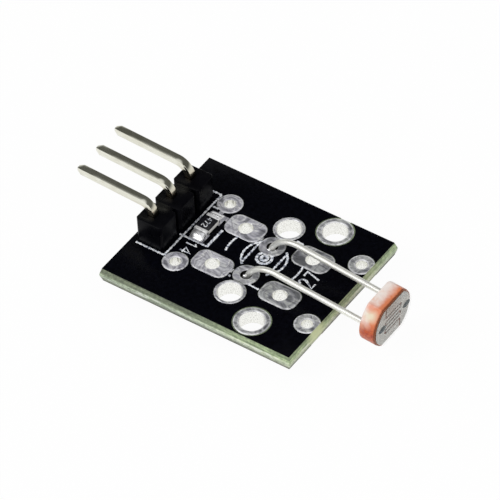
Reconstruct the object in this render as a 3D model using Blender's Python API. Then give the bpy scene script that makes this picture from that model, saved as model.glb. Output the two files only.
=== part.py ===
# Light sensor module: a small drilled circuit board that carries a three-way header with bent pins,
# a chip resistor and a light-dependent resistor on two wire leads.
# Units are metres and +Z is up. The origin is the middle of the board's underside. +X points to the
# sensor, and +Y to the far row of holes.

import math

import bmesh
import bpy
from mathutils import Matrix, Vector

MM = 0.001

# Clearances
SEAT_GAP = 0.02 * MM            # between a piece and what it rests on or passes through
TRACK_GAP = 0.03 * MM           # between neighbouring pads and tracks

# Board, snapped out of its panel along V-grooves
LAMINATE_THICKNESS = 1.25 * MM
GROOVE_DEPTH = 0.53 * MM        # of the V-groove, from each face of the laminate
GROOVE_INSET = 0.2 * MM         # of each face's edge behind the web
MASK_THICKNESS = 0.03 * MM      # of the black lacquer on each face
MASK_CLEARANCE = 0.05 * MM      # of the lacquer round a pad
MOUNTING_CLEARANCE = 0.1 * MM   # the same round a mounting pad

# Plated holes: the copper and tin that line a hole and spread round its mouths
PLATE_THICKNESS = 0.05 * MM     # on the laminate's faces
BARREL_WALL = 0.05 * MM         # in the hole
SMALL_HOLE_RADIUS = 0.55 * MM
SMALL_RING = 0.52 * MM          # of the pad, from the hole's wall to its rim
OBLONG_HOLE_RADIUS = 0.7 * MM
OBLONG_RING = 0.44 * MM         # the same, at the pad's sides
OBLONG_EXTRA = 1.12 * MM        # of the pad's length over its width
OBLONG_CHAMFER = 0.68 * MM
MIDDLE_HOLE_RADIUS = 1.12 * MM
MIDDLE_RING = 0.18 * MM
MOUNTING_HOLE_RADIUS = 1.13 * MM
MOUNTING_RING = 0.37 * MM
TRACK_WIDTH = 0.4 * MM

# Header
PIN_PITCH = 2.54 * MM
PIN_WIDTH = 0.64 * MM
PIN_CHAMFER = 0.05 * MM         # along the pin's edges
PIN_FIT = 0.02 * MM             # between a pin and its slot in the housing
PIN_HOLE_PLAY = 0.11 * MM       # between a pin's corners and its drilled hole
PIN_PAD_RING = 0.29 * MM
PIN_TAIL = 1.5 * MM             # below the board
PIN_BEND_RADII = {"near": 1.02 * MM, "middle": 1.13 * MM, "far": 1.21 * MM}  # of the pins' centre lines
PIN_BEND_START = 0.03 * MM      # above the housing
PIN_REACH = 7.23 * MM           # from the pin's upright centre line to its tip
PIN_RISE = math.radians(2.8)    # of the bent part over the board's plane
PIN_POINT_LENGTH = 0.4 * MM
PIN_POINT_WIDTH = 0.34 * MM
HOUSING_DEPTH = 2.5 * MM
HOUSING_OFFSET = 0.27 * MM      # of the housing's middle from the pins, towards the chip
HOUSING_HEIGHT = 2.5 * MM
CELL_SPACE = 0.32 * MM          # between two cells, along the row
CELL_CHAMFER = 0.2 * MM
NOTCH_DEPTH = 0.55 * MM         # of the space between two cells, from each side

# Chip resistor
CHIP_LENGTH = 2.0 * MM
CHIP_WIDTH = 1.25 * MM
CHIP_THICKNESS = 0.5 * MM       # over its end caps
CAP_LENGTH = 0.32 * MM
CAP_WALL = 0.06 * MM
OVERCOAT_RISE = 0.04 * MM       # of the overcoat over the end caps
LAND_OVERLAP = 0.4 * MM         # of a land under the chip
LAND_REACH = 0.75 * MM          # of a land past the chip's end
LAND_MARGIN = 0.05 * MM         # of a land past the chip's sides
FILLET_TOE = 0.15               # of a fillet's height, at its low end
FILLET_HOLLOW = 1.8             # how steeply a fillet falls from the chip

# Light-dependent resistor
LEAD_SPACING = 3.36 * MM
LEAD_DIAMETER = 0.5 * MM
LEAD_TAIL = 1.5 * MM            # below the board
LEAD_ARCH_RADIUS = 2.65 * MM
NEAR_LEAD_DEPTH = 1.15 * MM     # of each arch's start under the board's top
FAR_LEAD_DEPTH = 0.98 * MM
LEAD_HOLE_OUTSET = 0.15 * MM    # of the hole's centre outside its lead
LEAD_SETBACK = 0.12 * MM        # of the lead behind the hole's centre, away from the sensor
LEAD_HOLE_PLAY = 0.11 * MM      # between a lead and its drilled hole, at the closest
LEAD_PAD_RING = 0.53 * MM
HEAD_OVERHANG = 3.07 * MM       # of the head's back past the board's end
HEAD_LIFT = 0.71 * MM           # of the head's middle over the board
HEAD_TILT = math.radians(5)   # of the face towards the table
HEAD_MARGIN = 0.82 * MM         # from a lead's centre to the head's rim
FLAT_WIDTH = 2.75 * MM           # of the two flats on the rim
BASE_THICKNESS = 1.4 * MM
BASE_ROUNDING = 0.14 * MM
FILM_THICKNESS = 0.06 * MM
FILM_INSET = 0.03 * MM
ELECTRODE_THICKNESS = 0.04 * MM
ELECTRODE_INSET = 0.15 * MM
GAP_WIDTH = 0.17 * MM           # of the winding gap between the electrodes
GAP_RUNS = 5                    # straight runs of the gap
GAP_PITCH = 0.46 * MM
DAB_RADIUS = 0.38 * MM
DAB_MARGIN = 0.13 * MM          # between a dab and the gap
DAB_HEIGHT = 0.08 * MM
DAB_PROFILE = ((1, 0), (0.9, 0.6), (0.6, 1))  # its outline, in shares of the radius and the height
LACQUER_COVER = 0.05 * MM       # over the dabs
LACQUER_ROUNDING = 0.1 * MM
ROUND_SHARE = 0.3               # of a rounding, at which its middle lies behind the corner

# Solder joints on the underside
SOLDER_HEIGHT = 0.9 * MM
SOLDER_COLLAR = 0.09 * MM       # of the joint's narrow end round its wire
SOLDER_HOLLOW = 2.2             # how steeply the joint narrows

# Layout along the board, from the header's end to the sensor's
HEADER_EDGE = 1.71 * MM         # pins from the board's end
HEADER_TO_CHIP = 2.95 * MM      # from the pins to the chip's middle
CHIP_LINK = 0.265 * MM          # between the chip's lands and the oblong pads
LEAD_NECK = 0.18 * MM           # between the oblong pads and the lead pads
LEAD_TO_OBLONG = 0.76 * MM      # between the lead pads and the next oblong pads
LEAD_TO_MOUNTING = 3.28 * MM    # between hole centres
OBLONG_TO_SMALL = 1.85 * MM     # from an oblong pad to the last holes' centres
SMALL_EDGE = 1.05 * MM          # from the last holes' centres to the board's end

# Layout across the board, from its centre line
HEADER_SHIFT = 0.27 * MM
CHIP_SHIFT = 0.83 * MM
SMALL_SHIFT = 0.17 * MM
PATTERN_SHIFT = 0.07 * MM       # of the oblong, middle and mounting holes
SMALL_LINK = 0.335 * MM         # between the chip's far land and the small pad
LEAD_TO_OBLONG_Y = 0.495 * MM   # between hole centres
LEAD_TO_MIDDLE_Y = 2.3 * MM     # between hole centres
OBLONG_TO_MOUNTING = 0.86 * MM  # between pads
MOUNTING_EDGE = 1.8 * MM        # from the hole's centre to the board's side

# Facets
LARGE_SEGMENTS = 24
SMALL_SEGMENTS = 16
ARC_STEPS = 9
TURN_STEPS = 5

# Heights that follow
LAMINATE_LOW = MASK_THICKNESS + SEAT_GAP
LAMINATE_HIGH = LAMINATE_LOW + LAMINATE_THICKNESS
BOARD_HIGH = LAMINATE_HIGH + SEAT_GAP + MASK_THICKNESS
PLATE_LOW = LAMINATE_HIGH + SEAT_GAP
PLATE_HIGH = PLATE_LOW + PLATE_THICKNESS
UNDER_PLATE = LAMINATE_LOW - SEAT_GAP - PLATE_THICKNESS
ABOVE_ALL = 2 * BOARD_HIGH
BELOW_ALL = -BOARD_HIGH

# Radii and pad sizes that follow
LINING = SEAT_GAP + BARREL_WALL
PIN_HOLE_RADIUS = PIN_WIDTH / math.sqrt(2) + PIN_HOLE_PLAY
LEAD_HOLE_RADIUS = LEAD_DIAMETER / 2 + math.hypot(LEAD_HOLE_OUTSET, LEAD_SETBACK) + LEAD_HOLE_PLAY
LEAD_PAD_RADIUS = LEAD_HOLE_RADIUS + LEAD_PAD_RING
SMALL_PAD_RADIUS = SMALL_HOLE_RADIUS + SMALL_RING
MOUNTING_PAD_RADIUS = MOUNTING_HOLE_RADIUS + MOUNTING_RING
OBLONG_PAD_WIDTH = 2 * (OBLONG_HOLE_RADIUS + OBLONG_RING)
OBLONG_PAD_LENGTH = OBLONG_PAD_WIDTH + OBLONG_EXTRA

# Places across the board that follow
LEAD_HOLE_Y = LEAD_SPACING / 2 + LEAD_HOLE_OUTSET
OBLONG_Y = LEAD_HOLE_Y + LEAD_TO_OBLONG_Y
MIDDLE_Y = LEAD_HOLE_Y + LEAD_TO_MIDDLE_Y
MOUNTING_Y = OBLONG_Y + OBLONG_PAD_WIDTH / 2 + OBLONG_TO_MOUNTING + MOUNTING_PAD_RADIUS
SMALL_Y = CHIP_SHIFT + CHIP_LENGTH / 2 + LAND_REACH + SMALL_LINK + SMALL_PAD_RADIUS - SMALL_SHIFT
BOARD_WIDTH = 2 * (MOUNTING_Y + MOUNTING_EDGE)

# Places along the board that follow, first from its header end and then from its middle
TO_CHIP = HEADER_EDGE + HEADER_TO_CHIP
TO_OBLONG_LEFT = TO_CHIP + CHIP_WIDTH / 2 + LAND_MARGIN + CHIP_LINK + OBLONG_PAD_LENGTH / 2
TO_LEADS = TO_OBLONG_LEFT + OBLONG_PAD_LENGTH / 2 + LEAD_NECK + LEAD_PAD_RADIUS
TO_OBLONG_RIGHT = TO_LEADS + LEAD_PAD_RADIUS + LEAD_TO_OBLONG + OBLONG_PAD_LENGTH / 2
TO_SMALL_RIGHT = TO_OBLONG_RIGHT + OBLONG_PAD_LENGTH / 2 + OBLONG_TO_SMALL
BOARD_LENGTH = TO_SMALL_RIGHT + SMALL_EDGE
HEADER_X = HEADER_EDGE - BOARD_LENGTH / 2
CHIP_X = TO_CHIP - BOARD_LENGTH / 2
LEAD_HOLE_X = TO_LEADS - BOARD_LENGTH / 2
LEAD_X = LEAD_HOLE_X - LEAD_SETBACK
HEAD_X = BOARD_LENGTH / 2 + HEAD_OVERHANG
HEAD_Z = BOARD_HIGH + HEAD_LIFT

SIDES = ((-1, "near"), (1, "far"))
PINS = ((-1, "near"), (0, "middle"), (1, "far"))

# Hole kinds: hole radius, width of the ring of tin round it, lacquer clearance and facets
HOLES = {
    "small": (SMALL_HOLE_RADIUS, SMALL_RING, MASK_CLEARANCE, SMALL_SEGMENTS),
    "oblong": (OBLONG_HOLE_RADIUS, OBLONG_RING, MASK_CLEARANCE, LARGE_SEGMENTS),
    "middle": (MIDDLE_HOLE_RADIUS, MIDDLE_RING, MASK_CLEARANCE, LARGE_SEGMENTS),
    "mounting": (MOUNTING_HOLE_RADIUS, MOUNTING_RING, MOUNTING_CLEARANCE, LARGE_SEGMENTS),
    "lead": (LEAD_HOLE_RADIUS, LEAD_PAD_RING, MASK_CLEARANCE, LARGE_SEGMENTS),
    "header": (PIN_HOLE_RADIUS, PIN_PAD_RING, MASK_CLEARANCE, SMALL_SEGMENTS),
}


def material(name, colour, roughness, metallic=0.0, alpha=1.0):
    made = bpy.data.materials.new(name)
    made.use_nodes = True
    made.diffuse_color = (*colour, alpha)
    shader = made.node_tree.nodes["Principled BSDF"]
    shader.inputs["Base Color"].default_value = (*colour, 1.0)
    shader.inputs["Roughness"].default_value = roughness
    shader.inputs["Metallic"].default_value = metallic
    shader.inputs["Alpha"].default_value = alpha
    return made


def finish(name, bm, surface, smooth=True):
    bmesh.ops.recalc_face_normals(bm, faces=bm.faces)
    mesh = bpy.data.meshes.new(name)
    bm.to_mesh(mesh)
    bm.free()
    if smooth:
        mesh.shade_smooth()
        mesh.set_sharp_from_angle(angle=math.radians(35))
    made = bpy.data.objects.new(name, mesh)
    bpy.context.collection.objects.link(made)
    if surface:
        mesh.materials.append(surface)
    return made


def cutter(name, bm):
    made = finish(name, bm, None, smooth=False)
    made.hide_render = True
    made.display_type = "WIRE"
    return made


def combine(target, tool, operation="DIFFERENCE"):
    boolean = target.modifiers.new(tool.name, "BOOLEAN")
    boolean.operation = operation
    boolean.solver = "EXACT"
    boolean.object = tool


def loft(rings, ring_closed=False):
    """Skin a row of rings with as many points each; end caps unless the row closes on itself."""
    bm = bmesh.new()
    rows = [[bm.verts.new(point) for point in ring] for ring in rings]
    pairs = list(zip(rows, rows[1:]))
    if ring_closed:
        pairs.append((rows[-1], rows[0]))
    else:
        bm.faces.new(rows[0])
        bm.faces.new(rows[-1])
    count = len(rows[0])
    for low, high in pairs:
        for i in range(count):
            j = (i + 1) % count
            bm.faces.new((low[i], low[j], high[j], high[i]))
    return bm


def circle(radius, segments, start=0.0):
    turn = math.tau / segments
    angles = [start + i * turn for i in range(segments)]
    return [(radius * math.cos(a), radius * math.sin(a)) for a in angles]


def rectangle(length, width):
    x, y = length / 2, width / 2
    return [(-x, -y), (x, -y), (x, y), (-x, y)]


def octagon(length, width, chamfer):
    """A rectangle with its corners cut back, anticlockwise from the lower end of its +X side."""
    x, y = length / 2, width / 2
    corner = [(x, y - chamfer), (x - chamfer, y)]
    left = [(-a, b) for a, b in reversed(corner)]
    return [(x, chamfer - y)] + corner + left + [(-a, -b) for a, b in corner] + [(x - chamfer, -y)]


def divided(outline, parts):
    """The same outline with each of its sides in equal parts."""
    points = []
    for (x0, y0), (x1, y1) in zip(outline, outline[1:] + outline[:1]):
        for i in range(parts):
            share = i / parts
            points.append((x0 + (x1 - x0) * share, y0 + (y1 - y0) * share))
    return points


def at_height(outline, centre, z):
    return [Vector((centre[0] + x, centre[1] + y, z)) for x, y in outline]


def prism(outline, centre, low, high):
    return loft([at_height(outline, centre, low), at_height(outline, centre, high)])


def through(name, outline, centre):
    """A cutter that reaches past both faces of the board."""
    return cutter(name, prism(outline, centre, BELOW_ALL, ABOVE_ALL))


# Hole pattern

def hole_places():
    """Every plated hole: its kind, the ending of its name and its centre."""
    places = []
    half = BOARD_LENGTH / 2
    for across, side in SIDES:
        small_y = SMALL_SHIFT + across * SMALL_Y
        places.append(("small", "left_" + side, (CHIP_X, small_y)))
        places.append(("small", "right_" + side, (TO_SMALL_RIGHT - half, small_y)))
        oblong_y = PATTERN_SHIFT + across * OBLONG_Y
        places.append(("oblong", "left_" + side, (TO_OBLONG_LEFT - half, oblong_y)))
        places.append(("oblong", "right_" + side, (TO_OBLONG_RIGHT - half, oblong_y)))
        places.append(("middle", side, (LEAD_HOLE_X, PATTERN_SHIFT + across * MIDDLE_Y)))
        mounting = (LEAD_HOLE_X + LEAD_TO_MOUNTING, PATTERN_SHIFT + across * MOUNTING_Y)
        places.append(("mounting", side, mounting))
        places.append(("lead", side, (LEAD_HOLE_X, across * LEAD_HOLE_Y)))
    for step, side in PINS:
        places.append(("header", side, pin_place(step)))
    return places


def pin_place(step):
    return (HEADER_X, HEADER_SHIFT + step * PIN_PITCH)


def hole_outline(kind, shrink=0.0):
    radius, _, _, segments = HOLES[kind]
    start = -math.pi / 8 if kind == "oblong" else 0.0
    return circle(radius - shrink, segments, start)


def pad_outline(kind, grow=0.0):
    radius, ring, _, segments = HOLES[kind]
    if kind == "oblong":
        chamfer = OBLONG_CHAMFER + grow * (2 - math.sqrt(2))
        outline = octagon(OBLONG_PAD_LENGTH + 2 * grow, OBLONG_PAD_WIDTH + 2 * grow, chamfer)
        return divided(outline, segments // 8)
    return circle(radius + ring + grow, segments)


# Board

def make_board(laminate, mask):
    """The laminate is narrowest at its faces, because of the V-grooves, and lacquered on both."""
    web = rectangle(BOARD_LENGTH, BOARD_WIDTH)
    face = rectangle(BOARD_LENGTH - 2 * GROOVE_INSET, BOARD_WIDTH - 2 * GROOVE_INSET)
    centre = (0, 0)
    board = finish("circuit_board", loft([
        at_height(face, centre, LAMINATE_LOW),
        at_height(web, centre, LAMINATE_LOW + GROOVE_DEPTH),
        at_height(web, centre, LAMINATE_HIGH - GROOVE_DEPTH),
        at_height(face, centre, LAMINATE_HIGH),
    ]), laminate, smooth=False)
    top = finish("solder_mask_top", prism(face, centre, PLATE_LOW, BOARD_HIGH), mask, smooth=False)
    bottom = finish("solder_mask_bottom", prism(face, centre, 0, MASK_THICKNESS), mask, smooth=False)
    for kind, name, place in hole_places():
        combine(board, through("drill_" + kind + "_" + name, hole_outline(kind), place))
        clearance = HOLES[kind][2]
        opening = through("opening_" + kind + "_" + name, pad_outline(kind, clearance), place)
        combine(top, opening)
        combine(bottom, opening)
    return top


def make_eyelets(surface):
    """The lining of each hole: two flat pads joined by a barrel, as one ring-shaped solid."""
    end = BOARD_LENGTH / 2 - GROOVE_INSET - SEAT_GAP
    edge = through("board_end", rectangle(BOARD_LENGTH, BOARD_WIDTH), (end + BOARD_LENGTH / 2, 0))
    clear = {}
    for kind, name, place in hole_places():
        pad = pad_outline(kind)
        outer = hole_outline(kind, SEAT_GAP)
        inner = hole_outline(kind, LINING)
        eyelet = finish(kind + "_eyelet_" + name, loft([
            at_height(inner, place, UNDER_PLATE),
            at_height(pad, place, UNDER_PLATE),
            at_height(pad, place, UNDER_PLATE + PLATE_THICKNESS),
            at_height(outer, place, UNDER_PLATE + PLATE_THICKNESS),
            at_height(outer, place, PLATE_LOW),
            at_height(pad, place, PLATE_LOW),
            at_height(pad, place, PLATE_HIGH),
            at_height(inner, place, PLATE_HIGH),
        ], ring_closed=True), surface)
        if kind == "small" and name.startswith("right"):
            combine(eyelet, edge)
        if kind == "middle":
            clear[name] = through("clear_middle_" + name, pad_outline(kind, TRACK_GAP), place)
        if kind == "lead":
            combine(eyelet, clear[name])


def make_tracks(surface, mask):
    """Short bare tracks between the pads of one net, on the board's upper face."""
    oblong_left = TO_OBLONG_LEFT - BOARD_LENGTH / 2
    neck_start = oblong_left + OBLONG_PAD_LENGTH / 2
    for across, side in SIDES:
        y = across * (LEAD_HOLE_Y + LEAD_TO_OBLONG_Y / 2)
        make_track("track_lead_" + side, (neck_start, y), (neck_start + LEAD_NECK, y), surface, mask)
    chip_side = CHIP_X + CHIP_WIDTH / 2 + LAND_MARGIN
    y = PATTERN_SHIFT + OBLONG_Y
    make_track("track_oblong", (chip_side, y), (chip_side + CHIP_LINK, y), surface, mask)
    land_end = CHIP_SHIFT + CHIP_LENGTH / 2 + LAND_REACH
    make_track("track_small", (CHIP_X, land_end), (CHIP_X, land_end + SMALL_LINK), surface, mask)


def make_track(name, start, end, surface, mask):
    length_x = abs(end[0] - start[0])
    length_y = abs(end[1] - start[1])
    centre = ((start[0] + end[0]) / 2, (start[1] + end[1]) / 2)
    gap = 2 * TRACK_GAP
    if length_x > length_y:
        outline = rectangle(length_x - gap, TRACK_WIDTH)
        opening = rectangle(length_x, TRACK_WIDTH + 2 * MASK_CLEARANCE)
    else:
        outline = rectangle(TRACK_WIDTH, length_y - gap)
        opening = rectangle(TRACK_WIDTH + 2 * MASK_CLEARANCE, length_y)
    finish(name, prism(outline, centre, PLATE_LOW, PLATE_HIGH), surface, smooth=False)
    combine(mask, cutter("opening_" + name, prism(opening, centre, LAMINATE_HIGH, ABOVE_ALL)))


# Header

def pin_path(bend_radius):
    """Stations of the pin's centre line: x, z, slope and width of the section."""
    bend_z = PLATE_HIGH + SEAT_GAP + HOUSING_HEIGHT + PIN_BEND_START
    turn = math.pi / 2 - PIN_RISE
    stations = [(0, -PIN_TAIL, 0, PIN_POINT_WIDTH), (0, -PIN_TAIL + PIN_POINT_LENGTH, 0, PIN_WIDTH)]
    for i in range(ARC_STEPS + 1):
        angle = turn * i / ARC_STEPS
        x = -bend_radius * (1 - math.cos(angle))
        stations.append((x, bend_z + bend_radius * math.sin(angle), angle, PIN_WIDTH))
    start_x, start_z, angle, _ = stations[-1]
    length = (PIN_REACH + start_x) / math.sin(angle)
    for distance, width in ((length - PIN_POINT_LENGTH, PIN_WIDTH), (length, PIN_POINT_WIDTH)):
        x = start_x - distance * math.sin(angle)
        stations.append((x, start_z + distance * math.cos(angle), angle, width))
    return stations


def make_pin(name, y, surface):
    rings = []
    for x, z, angle, width in pin_path(PIN_BEND_RADII[name]):
        across = Vector((math.cos(angle), 0, math.sin(angle)))
        centre = Vector((HEADER_X + x, y, z))
        section = octagon(width, width, PIN_CHAMFER * width / PIN_WIDTH)
        rings.append([centre + across * a + Vector((0, b, 0)) for a, b in section])
    finish("header_pin_" + name, loft(rings), surface, smooth=False)


def housing_outline():
    """Plan of the strip: three cells with cut corners, joined by narrower webs."""
    half_cell = (PIN_PITCH - CELL_SPACE) / 2
    half_depth = HOUSING_DEPTH / 2
    half_web = half_depth - NOTCH_DEPTH
    right = []
    for step, _ in PINS:
        y = step * PIN_PITCH
        if step > -1:
            right.append((half_web, y - half_cell))
        right.append((half_depth - CELL_CHAMFER, y - half_cell))
        right.append((half_depth, y - half_cell + CELL_CHAMFER))
        right.append((half_depth, y + half_cell - CELL_CHAMFER))
        right.append((half_depth - CELL_CHAMFER, y + half_cell))
        if step < 1:
            right.append((half_web, y + half_cell))
    return right + [(-x, y) for x, y in reversed(right)]


def make_header(plastic, plating, solder):
    low = PLATE_HIGH + SEAT_GAP
    plan = housing_outline()
    centre = (HEADER_X + HOUSING_OFFSET, HEADER_SHIFT)
    housing = finish("header_housing", prism(plan, centre, low, low + HOUSING_HEIGHT),
                     plastic, smooth=False)
    for step, name in PINS:
        place = pin_place(step)
        make_pin(name, place[1], plating)
        slot_width = PIN_WIDTH + 2 * PIN_FIT
        slot = cutter("slot_" + name, prism(rectangle(slot_width, slot_width), place,
                                            -2 * PIN_TAIL, low + 2 * HOUSING_HEIGHT))
        combine(housing, slot)
        joint = make_solder("header_solder_" + name, place, place, PIN_WIDTH / math.sqrt(2),
                            PIN_HOLE_RADIUS + PIN_PAD_RING, solder)
        combine(joint, slot)


def make_solder(name, pad_centre, wire_centre, wire_radius, pad_radius, surface):
    """A joint that wets the pad and climbs down the wire in a hollow curve."""
    top = UNDER_PLATE - SEAT_GAP
    narrow = wire_radius + SOLDER_COLLAR
    wide = pad_radius - SEAT_GAP
    rings = []
    for i in range(TURN_STEPS + 1):
        share = i / TURN_STEPS
        spread = (1 - share) ** SOLDER_HOLLOW
        centre = [wire + (pad - wire) * spread for pad, wire in zip(pad_centre, wire_centre)]
        outline = circle(narrow + (wide - narrow) * spread, SMALL_SEGMENTS)
        rings.append(at_height(outline, centre, top - SOLDER_HEIGHT * share))
    return finish(name, loft(rings), surface)


# Chip resistor

CHIP_PLACE = (CHIP_X, CHIP_SHIFT)

def make_resistor(ceramic, overcoat, tin, solder, mask):
    """It lies across the board, soldered to two lands."""
    chip_low = PLATE_HIGH + SEAT_GAP
    chip_high = chip_low + CHIP_THICKNESS
    under_cap = CAP_WALL + SEAT_GAP
    body = rectangle(CHIP_WIDTH, CHIP_LENGTH - 2 * under_cap)
    finish("resistor_body", prism(body, CHIP_PLACE, chip_low + under_cap, chip_high - under_cap),
           ceramic, smooth=False)
    coat = rectangle(CHIP_WIDTH, CHIP_LENGTH - 2 * CAP_LENGTH - 2 * SEAT_GAP)
    coat_low = chip_high - under_cap + SEAT_GAP
    finish("resistor_overcoat", prism(coat, CHIP_PLACE, coat_low, chip_high + OVERCOAT_RISE),
           overcoat, smooth=False)
    for across, side in SIDES:
        make_cap(side, across, chip_low, chip_high, tin)
        make_land(side, across, tin, mask)
        make_fillet(side, across, chip_high, solder)


def chip_end(across):
    return CHIP_SHIFT + across * CHIP_LENGTH / 2


def make_cap(side, across, low, high, surface):
    """The tinned cap: a strap of C section that wraps the chip's end."""
    end = chip_end(across)
    lip = end - across * CAP_LENGTH
    inside = end - across * CAP_WALL
    section = [(lip, low), (end, low), (end, high), (lip, high),
               (lip, high - CAP_WALL), (inside, high - CAP_WALL),
               (inside, low + CAP_WALL), (lip, low + CAP_WALL)]
    sweep_across("resistor_terminal_" + side, section, CHIP_WIDTH, surface)


def make_land(side, across, surface, mask):
    width = CHIP_WIDTH + 2 * LAND_MARGIN
    length = LAND_OVERLAP + LAND_REACH
    centre = (CHIP_X, chip_end(across) + across * (LAND_REACH - LAND_OVERLAP) / 2)
    finish("resistor_land_" + side, prism(rectangle(width, length), centre, PLATE_LOW, PLATE_HIGH),
           surface, smooth=False)
    opening = rectangle(width + 2 * MASK_CLEARANCE, length + 2 * MASK_CLEARANCE)
    combine(mask, cutter("opening_land_" + side, prism(opening, centre, LAMINATE_HIGH, ABOVE_ALL)))


def make_fillet(side, across, chip_high, surface):
    """Solder that runs from the land up the cap's end face in a hollow slope."""
    start = chip_end(across) + across * SEAT_GAP
    reach = LAND_REACH - 2 * SEAT_GAP
    low = PLATE_HIGH + SEAT_GAP
    height = chip_high - low - SEAT_GAP
    section = [(start, low)]
    for i in range(TURN_STEPS + 1):
        share = i / TURN_STEPS
        lift = FILLET_TOE + (1 - FILLET_TOE) * (1 - share) ** FILLET_HOLLOW
        section.append((start + across * reach * share, low + height * lift))
    section.append((start + across * reach, low))
    sweep_across("resistor_solder_" + side, section, CHIP_WIDTH, surface)


def sweep_across(name, section, width, surface):
    """Pull a section of (y, z) points along X, over the chip's width."""
    rings = [[Vector((CHIP_X + x, y, z)) for y, z in section] for x in (-width / 2, width / 2)]
    return finish(name, loft(rings), surface)


# Light-dependent resistor

def head_frame():
    """Takes head coordinates (across, up, forward from the back) to the module's own."""
    forward = Vector((math.cos(HEAD_TILT), 0, -math.sin(HEAD_TILT)))
    up = Vector((math.sin(HEAD_TILT), 0, math.cos(HEAD_TILT)))
    frame = Matrix((Vector((0, 1, 0)), up, forward)).transposed().to_4x4()
    frame.translation = Vector((HEAD_X, 0, HEAD_Z))
    return frame


HEAD_FRAME = head_frame()
HEAD_RADIUS = LEAD_SPACING / 2 + HEAD_MARGIN
HEAD_HEIGHT = 2 * math.sqrt(HEAD_RADIUS ** 2 - (FLAT_WIDTH / 2) ** 2)
GAP_TURN = GAP_PITCH / 2
GAP_HALF_RUN = LEAD_SPACING / 2 - DAB_RADIUS - DAB_MARGIN - GAP_WIDTH / 2 - GAP_TURN
FILM_LOW = BASE_THICKNESS + SEAT_GAP
FILM_HIGH = FILM_LOW + FILM_THICKNESS
ELECTRODE_LOW = FILM_HIGH + SEAT_GAP
ELECTRODE_HIGH = ELECTRODE_LOW + ELECTRODE_THICKNESS
LACQUER_LOW = ELECTRODE_HIGH + SEAT_GAP
LACQUER_HIGH = LACQUER_LOW + DAB_HEIGHT + SEAT_GAP + LACQUER_COVER


def head_outline(inset):
    """A disc with two flats, as (across, up) points."""
    radius = HEAD_RADIUS - inset
    corner = math.asin((HEAD_HEIGHT / 2 - inset) / radius)
    arc = [corner * (2 * i / ARC_STEPS - 1) for i in range(ARC_STEPS + 1)]
    right = [(radius * math.cos(a), radius * math.sin(a)) for a in arc]
    return right + [(-x, -y) for x, y in right]


def head_layer(levels):
    """Skin (outline, depth) pairs in head coordinates."""
    return loft([[HEAD_FRAME @ Vector((x, y, depth)) for x, y in outline] for outline, depth in levels])


def head_spot(across, radius):
    return [(x + across * LEAD_SPACING / 2, y) for x, y in circle(radius, SMALL_SEGMENTS)]


def gap_line():
    """Centre line of the winding gap, from above the face to below it."""
    top = GAP_PITCH * (GAP_RUNS - 1) / 2
    line = [(-GAP_HALF_RUN - GAP_TURN, HEAD_HEIGHT)]
    line += gap_turn(-GAP_HALF_RUN, top + GAP_TURN, math.pi, 1.5 * math.pi)
    side = 1
    for run in range(GAP_RUNS - 1):
        y = top - run * GAP_PITCH
        line += gap_turn(side * GAP_HALF_RUN, y - GAP_TURN, math.pi / 2, math.pi / 2 - side * math.pi)
        side = -side
    end = math.pi / 2 - side * math.pi / 2
    line += gap_turn(side * GAP_HALF_RUN, -top - GAP_TURN, math.pi / 2, end)
    line.append((side * (GAP_HALF_RUN + GAP_TURN), -HEAD_HEIGHT))
    return line


def gap_turn(x, y, start, end):
    steps = max(2, round(TURN_STEPS * abs(end - start) / math.pi))
    angles = [start + (end - start) * i / steps for i in range(steps + 1)]
    return [(x + GAP_TURN * math.cos(a), y + GAP_TURN * math.sin(a)) for a in angles]


def offset_line(line, distance):
    """Move an open line sideways, with mitred corners; a positive distance is to its left."""
    points = [Vector(point) for point in line]
    normals = []
    for a, b in zip(points, points[1:]):
        along = (b - a).normalized()
        normals.append(Vector((-along.y, along.x)))
    moved = [points[0] + normals[0] * distance]
    for point, before, after in zip(points[1:], normals, normals[1:]):
        moved.append(point + (before + after) * (distance / (1 + before.dot(after))))
    moved.append(points[-1] + normals[-1] * distance)
    return [tuple(point) for point in moved]


def make_electrode(side, across, surface):
    """One half of the metal layer: what lies to one side of the winding gap."""
    border = offset_line(gap_line(), across * GAP_WIDTH / 2)
    reach = 2 * HEAD_RADIUS * across
    region = border + [(reach, -HEAD_HEIGHT), (reach, HEAD_HEIGHT)]
    outline = head_outline(ELECTRODE_INSET)
    layer = head_layer([(outline, ELECTRODE_LOW), (outline, ELECTRODE_HIGH)])
    plate = finish("sensor_electrode_" + side, layer, surface, smooth=False)
    half = cutter("half_" + side, head_layer([(region, FILM_LOW), (region, LACQUER_HIGH)]))
    combine(plate, half, "INTERSECT")
    return plate


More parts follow.
